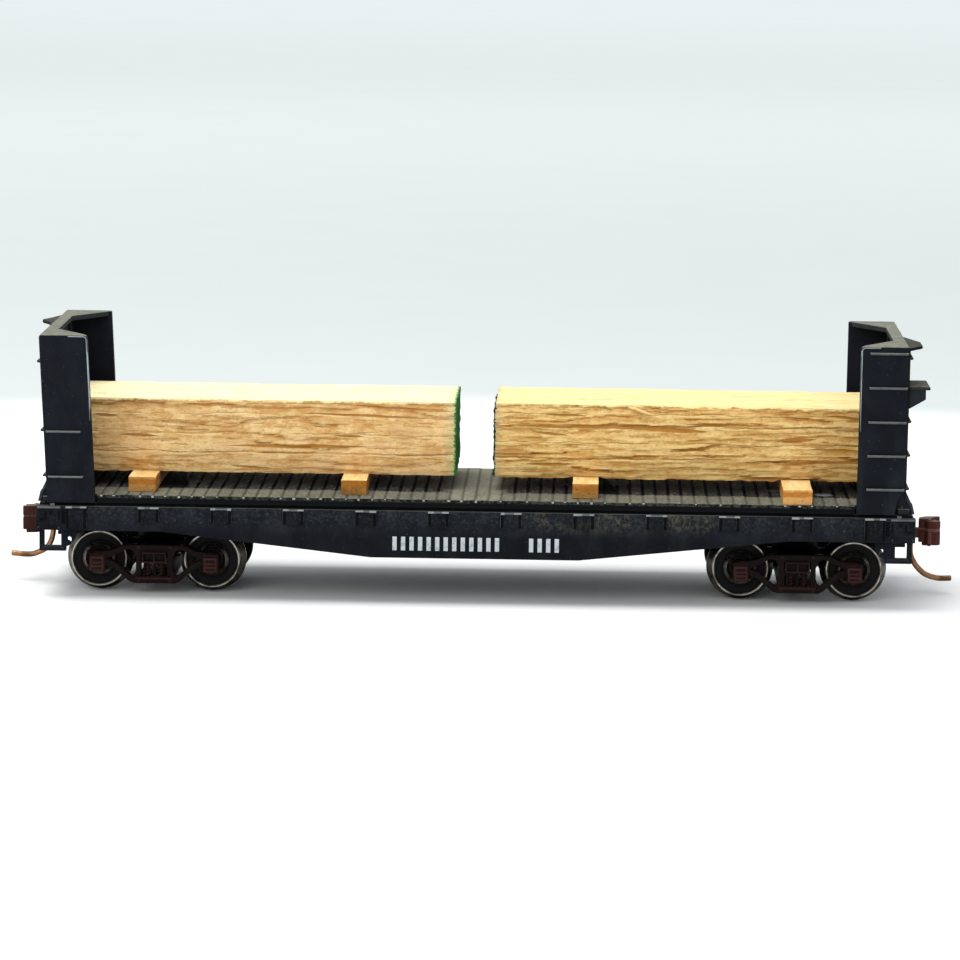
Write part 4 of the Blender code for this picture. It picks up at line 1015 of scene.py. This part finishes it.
def truck_side(s, c, face):
    """Side frame of a truck centred at x = c, on the near (-1) or far (1) face."""
    def plate(points, y0, y1, soft):
        s.add(prism([(c + x, z) for x, z in points], "Y", face * y0, face * y1, soft))

    def bar(x0, x1, y0, y1, z0, z1, tone=0.0, soft=0.05):
        s.add(box(c + x0, c + x1, face * y0, face * y1, z0, z1, soft), tone)

    plate(TRUCK_ARCH, 6.06, 7.1, 0.07)
    plate(TRUCK_TIE, 6.06, 7.1, 0.07)
    bar(-1.72, 1.72, 6.06, 7.24, 1.4, 1.64, 0.35)
    # tone below 0 in the side frame is painted shade: this bar behind the top chord, the plate behind the
    # frame's window, the posts behind it and the spring cores
    bar(-1.3, 1.3, 6.2, 6.98, 3.9, 4.3, -0.6)
    for k in (-1, 1):
        for points, y0, y1, soft in (
            (((1.22, 4.35), (1.66, 4.35), (1.7, 1.6), (1.22, 1.5)), 6.12, 7.04, 0.06),
            (((1.5, 4.3), (2.45, 4.3), (1.98, 4.02), (1.68, 3.4), (1.5, 3.3)), 6.14, 7.0, 0.04),
            (((1.5, 1.55), (2.2, 1.62), (1.86, 1.86), (1.68, 2.4), (1.5, 2.5)), 6.14, 7.0, 0.04),
        ):
            plate([(k * x, z) for x, z in points], y0, y1, soft)
        x = k * AXLE_OFFSET
        # the journal box and its lid; the lid ribs' high tone is a painted highlight
        for half, y0, y1, z0, z1, tone, soft in (
            (0.74, 6.06, 7.3, 2.1, 3.86, 0.1, 0.1), (0.66, 7.2, 7.46, 2.14, 3.62, 0.06, 0.08),
            (0.6, 7.4, 7.58, 3.36, 3.56, 0.85, 0.06), (0.56, 7.4, 7.52, 2.92, 3.06, 0.75, 0.05),
            (0.56, 7.4, 7.55, 2.56, 2.74, 0.8, 0.05), (0.5, 7.4, 7.5, 2.2, 2.36, 0.65, 0.05),
        ):
            bar(x - half, x + half, y0, y1, z0, z1, tone, soft)
        for side in (-1, 1):
            bar(x + side * 0.44, x + side * 0.6, 7.4, 7.53, 2.3, 3.4, 0.6, 0.04)
            for z in (2.18, 3.72):
                lug = ((0.12, 0), (0.12, 0.26), (0.06, 0.31))
                s.add(turning(lug, "Z", (c + x + side * 0.96, face * 6.6, z), 8), 0.25)
        for z in (4.42, 1.3):
            s.add(turning(((0.13, -0.06), (0.13, 0.06)), "Y", (c + k * 1.45, face * 7.1, z), 6), 0.35)
        spring, across = c + k * 0.63, face * 6.66
        turns = [math.tau * i / 10 for i in range(41)]
        coil = [(spring + 0.27 * math.cos(angle), across + 0.27 * math.sin(angle), 1.66 + 1.28 * i / 40)
                for i, angle in enumerate(turns)]
        s.add(wire(coil, 0.105, 6), 0.12)
        s.add(turning(((0.24, 1.5), (0.24, 3.1)), "Z", (spring, across, 0), 12), -0.3)
    bar(-1.12, 1.12, 5.9, 6.95, 3.02, 3.96, -0.7)
    for x0, x1, z0, z1 in ((-1.12, 1.12, 2.96, 3.12), (-1.12, 1.12, 3.82, 3.97), (-1.13, -0.98, 3.0, 3.95),
                           (0.98, 1.13, 3.0, 3.95), (-0.07, 0.07, 3.0, 3.95)):
        bar(x0, x1, 6.9, 7.26, z0, z1, 0.3)
    bar(-0.98, -0.86, 6.2, 7.1, 1.6, 3.0, -0.8, 0.0)
    bar(-0.12, 0.12, 6.2, 6.6, 1.6, 3.0, -0.8, 0.0)


def build_truck(name, c):
    s = Shape()
    bolster = mirrored(((6.5, 3.34), (6.5, 3.95), (5.4, 4.52)))
    # bolster and spring plank at tone below 0: painted shade between the side frames
    for x0, x1 in ((-1.18, -0.96), (0.96, 1.18)):
        s.add(prism(bolster, "X", c + x0, c + x1, 0.04), -0.6)
    for y0, y1 in ((-5.88, -0.97), (0.97, 5.88)):
        s.add(box(c - 1.68, c + 1.68, y0, y1, 3.34, 4.5, 0.08), -0.6)
    for y0, y1 in ((-3.28, -0.97), (0.97, 3.28)):
        s.add(box(c - 2.98, c + 2.98, y0, y1, 3.37, 4.46, 0.1), -0.6)
    s.add(box(c - 1.68, c + 1.68, -6.2, 6.2, 1.16, 1.48, 0.06), -0.4)
    bowl = ((0.95, 3.34), (1.9, 3.34), (2.2, 3.9), (2.2, 5.75), (2.05, 5.88), (0.95, 5.88))
    s.add(turning(bowl, "Z", (c, 0, 0), 48, True), -0.6)
    for face in (-1, 1):
        truck_side(s, c, face)
    s.piece(f"truck_{name}_casting", TRUCK, "truck_frame_" + name, "truck_" + name)
    s = Shape()
    pin = ((0.9, 2.8), (1.25, 2.84), (1.35, 2.94), (1.35, 3.26), (0.85, 3.26), (0.85, 7.5))
    s.add(turning(pin, "Z", (c, 0, 0), 32))
    s.piece("bolster_pin_" + name, BLACK, "king_pin_" + name)


# wheel outlines as (radius, distance from the car's centre line)
WHEEL_WEB = ((0.58, 4.12), (2.1, 3.92), (2.98, 3.86), (3.03, 3.92), (2.96, 4.1), (2.48, 4.4), (2.45, 5.56),
             (2.3, 5.42), (1.78, 5.36), (1.7, 5.4), (1.62, 5.46), (1.5, 5.42), (1.1, 5.46), (1.02, 5.4),
             (0.86, 5.44), (0.8, 5.66), (0.58, 5.66))
WHEEL_TREAD = ((2.38, 4.2), (2.96, 3.9), (3.05, 3.9), (3.1, 3.99), (3.1, 4.06), (3.04, 4.18), (2.78, 4.38),
               (2.66, 4.5), (2.6, 5.55), (2.38, 5.58))
WHEEL_RIM = ((2.42, 5.4), (2.595, 5.5), (2.585, 5.66), (2.55, 5.7), (2.46, 5.7), (2.43, 5.66))
HUB_RING = ((1.2, 5.42), (1.54, 5.4), (1.54, 5.46), (1.5, 5.5), (1.26, 5.64), (1.2, 5.6))


def build_wheelset(label, x):
    body, hub = "wheelset_" + label, (x, 0, FLANGE_RADIUS)
    s = Shape()
    s.add(turning(((0.05, -6.75), (0.14, -6.68), (0.54, -6.02), (0.54, -2.6), (0.44, -2.3), (0.44, 2.3),
                   (0.54, 2.6), (0.54, 6.02), (0.14, 6.68), (0.05, 6.75)), "Y", hub, 32))
    s.piece("axle_shaft_" + label, AXLE, "axle_" + label, body)
    for face, face_name in ((-1, "near"), (1, "far")):
        for part, look, profiles in (
            ("web", WHEEL, ((WHEEL_WEB, 72),)),
            ("tread", TREAD, ((WHEEL_TREAD, 96), (HUB_RING, 72))),
            ("rim", RIM, ((WHEEL_RIM, 96),)),
        ):
            s = Shape()
            for profile, segments in profiles:
                s.add(turning([(r, face * y) for r, y in profile], "Y", hub, segments, True))
            replaced = f"wheel_{label}_{face_name}" if part == "web" else None
            s.piece(f"wheel_{part}_{label}_{face_name}", look, replaced, body)


build_underframe()
build_floor()
build_deck()
build_bulkhead("right", 0, LEAN_RIGHT)
build_bulkhead("left", 180, LEAN_LEFT)
build_end_details()
build_stirrups()
build_lumber()
build_coupler("right", PIVOT_RIGHT, 0, -0.05, (
    (2.5, 5.5), (2.5, 3.9), (2.78, 3.1), (3.3, 2.38), (4.0, 1.82), (5.1, 1.5), (6.38, 1.52)))
build_coupler("left", PIVOT_LEFT, 180, -0.55, (
    (2.5, 5.5), (2.52, 4.6), (2.72, 3.75), (3.15, 3.08), (3.82, 2.68), (4.75, 2.42), (6.46, 2.52)))
for side, name in ((-1, "left"), (1, "right")):
    build_truck(name, side * TRUCK_CENTRE)
    for k, axle in ((1, "outer"), (-1, "inner")):
        build_wheelset(f"{name}_{axle}", side * (TRUCK_CENTRE + k * AXLE_OFFSET))


# ---- floor, light and camera
def panel(name, place, aim, width, height, power, colour):
    light = bpy.data.lights.new(name, "AREA")
    light.shape = "RECTANGLE"
    light.size, light.size_y, light.energy, light.color = width, height, power, colour
    item = into_scene(name, light)
    item.location = place
    item.rotation_euler = (Vector(aim) - Vector(place)).to_track_quat("-Z", "Y").to_euler()


def build_stage():
    data = bpy.data.meshes.new("floor")
    half = 12.0
    corners = [(-half, -half, 0), (half, -half, 0), (half, half, 0), (-half, half, 0)]
    data.from_pydata(corners, [], [(0, 1, 2, 3)])
    floor = into_scene("floor", data)
    p = Paint("floor_white", roughness=0.8, specular=0.0)
    away = p.distance((0.0, -60.0, 0.0))
    grain = p.step(p.noise(0.05, detail=4.0), 0.2, 0.8, 0.985, 1.0)
    pale = p.mix(p.step(away, 250, 800), (0.555, 0.59, 0.585), (0.81, 0.855, 0.83))
    pale = p.mix(p.step(away, 800, 1450), pale, (0.94, 0.98, 0.96))
    pale = p.mix(p.step(away, 180, 204), (0.86, 0.86, 0.86), pale)
    p.colour(p.mix(grain, (0.0, 0.0, 0.0), pale))
    data.materials.append(p.material)
    world = bpy.data.worlds.new("studio")
    bpy.context.scene.world = world
    world.use_nodes = True
    sky = world.node_tree.nodes["Background"]
    sky.inputs["Color"].default_value = (0.94, 0.97, 1.0, 1.0)
    sky.inputs["Strength"].default_value = 0.9
    panel("overhead", (-0.12, -0.05, 0.62), (0, 0.0, 0.01), 0.5, 0.3, 3.2, (1.0, 0.99, 0.97))
    panel("front_fill", (-0.25, -0.6, 0.35), (0, 0, 0.012), 0.4, 0.3, 1.1, (1.0, 0.98, 0.95))


def build_camera():
    data = bpy.data.cameras.new("camera")
    data.sensor_width = 36.0
    data.lens = 163.645125
    data.clip_start, data.clip_end = 0.01, 50.0
    camera = into_scene("camera", data)
    place = Vector((0.01022, -0.40355, 0.0706))
    pitch, yaw, roll = 0.14874, -0.02489, 0.01158
    ahead = Vector((math.sin(yaw) * math.cos(pitch), math.cos(yaw) * math.cos(pitch), -math.sin(pitch)))
    level = Vector((math.cos(yaw), -math.sin(yaw), 0.0))
    upright = level.cross(ahead)
    right = level * math.cos(roll) + upright * math.sin(roll)
    up = upright * math.cos(roll) - level * math.sin(roll)
    axes = Matrix((right, up, -ahead)).transposed().to_4x4()
    camera.matrix_world = Matrix.Translation(place) @ axes
    bpy.context.scene.camera = camera


build_stage()
build_camera()
bpy.context.scene.view_settings.view_transform = "Standard"
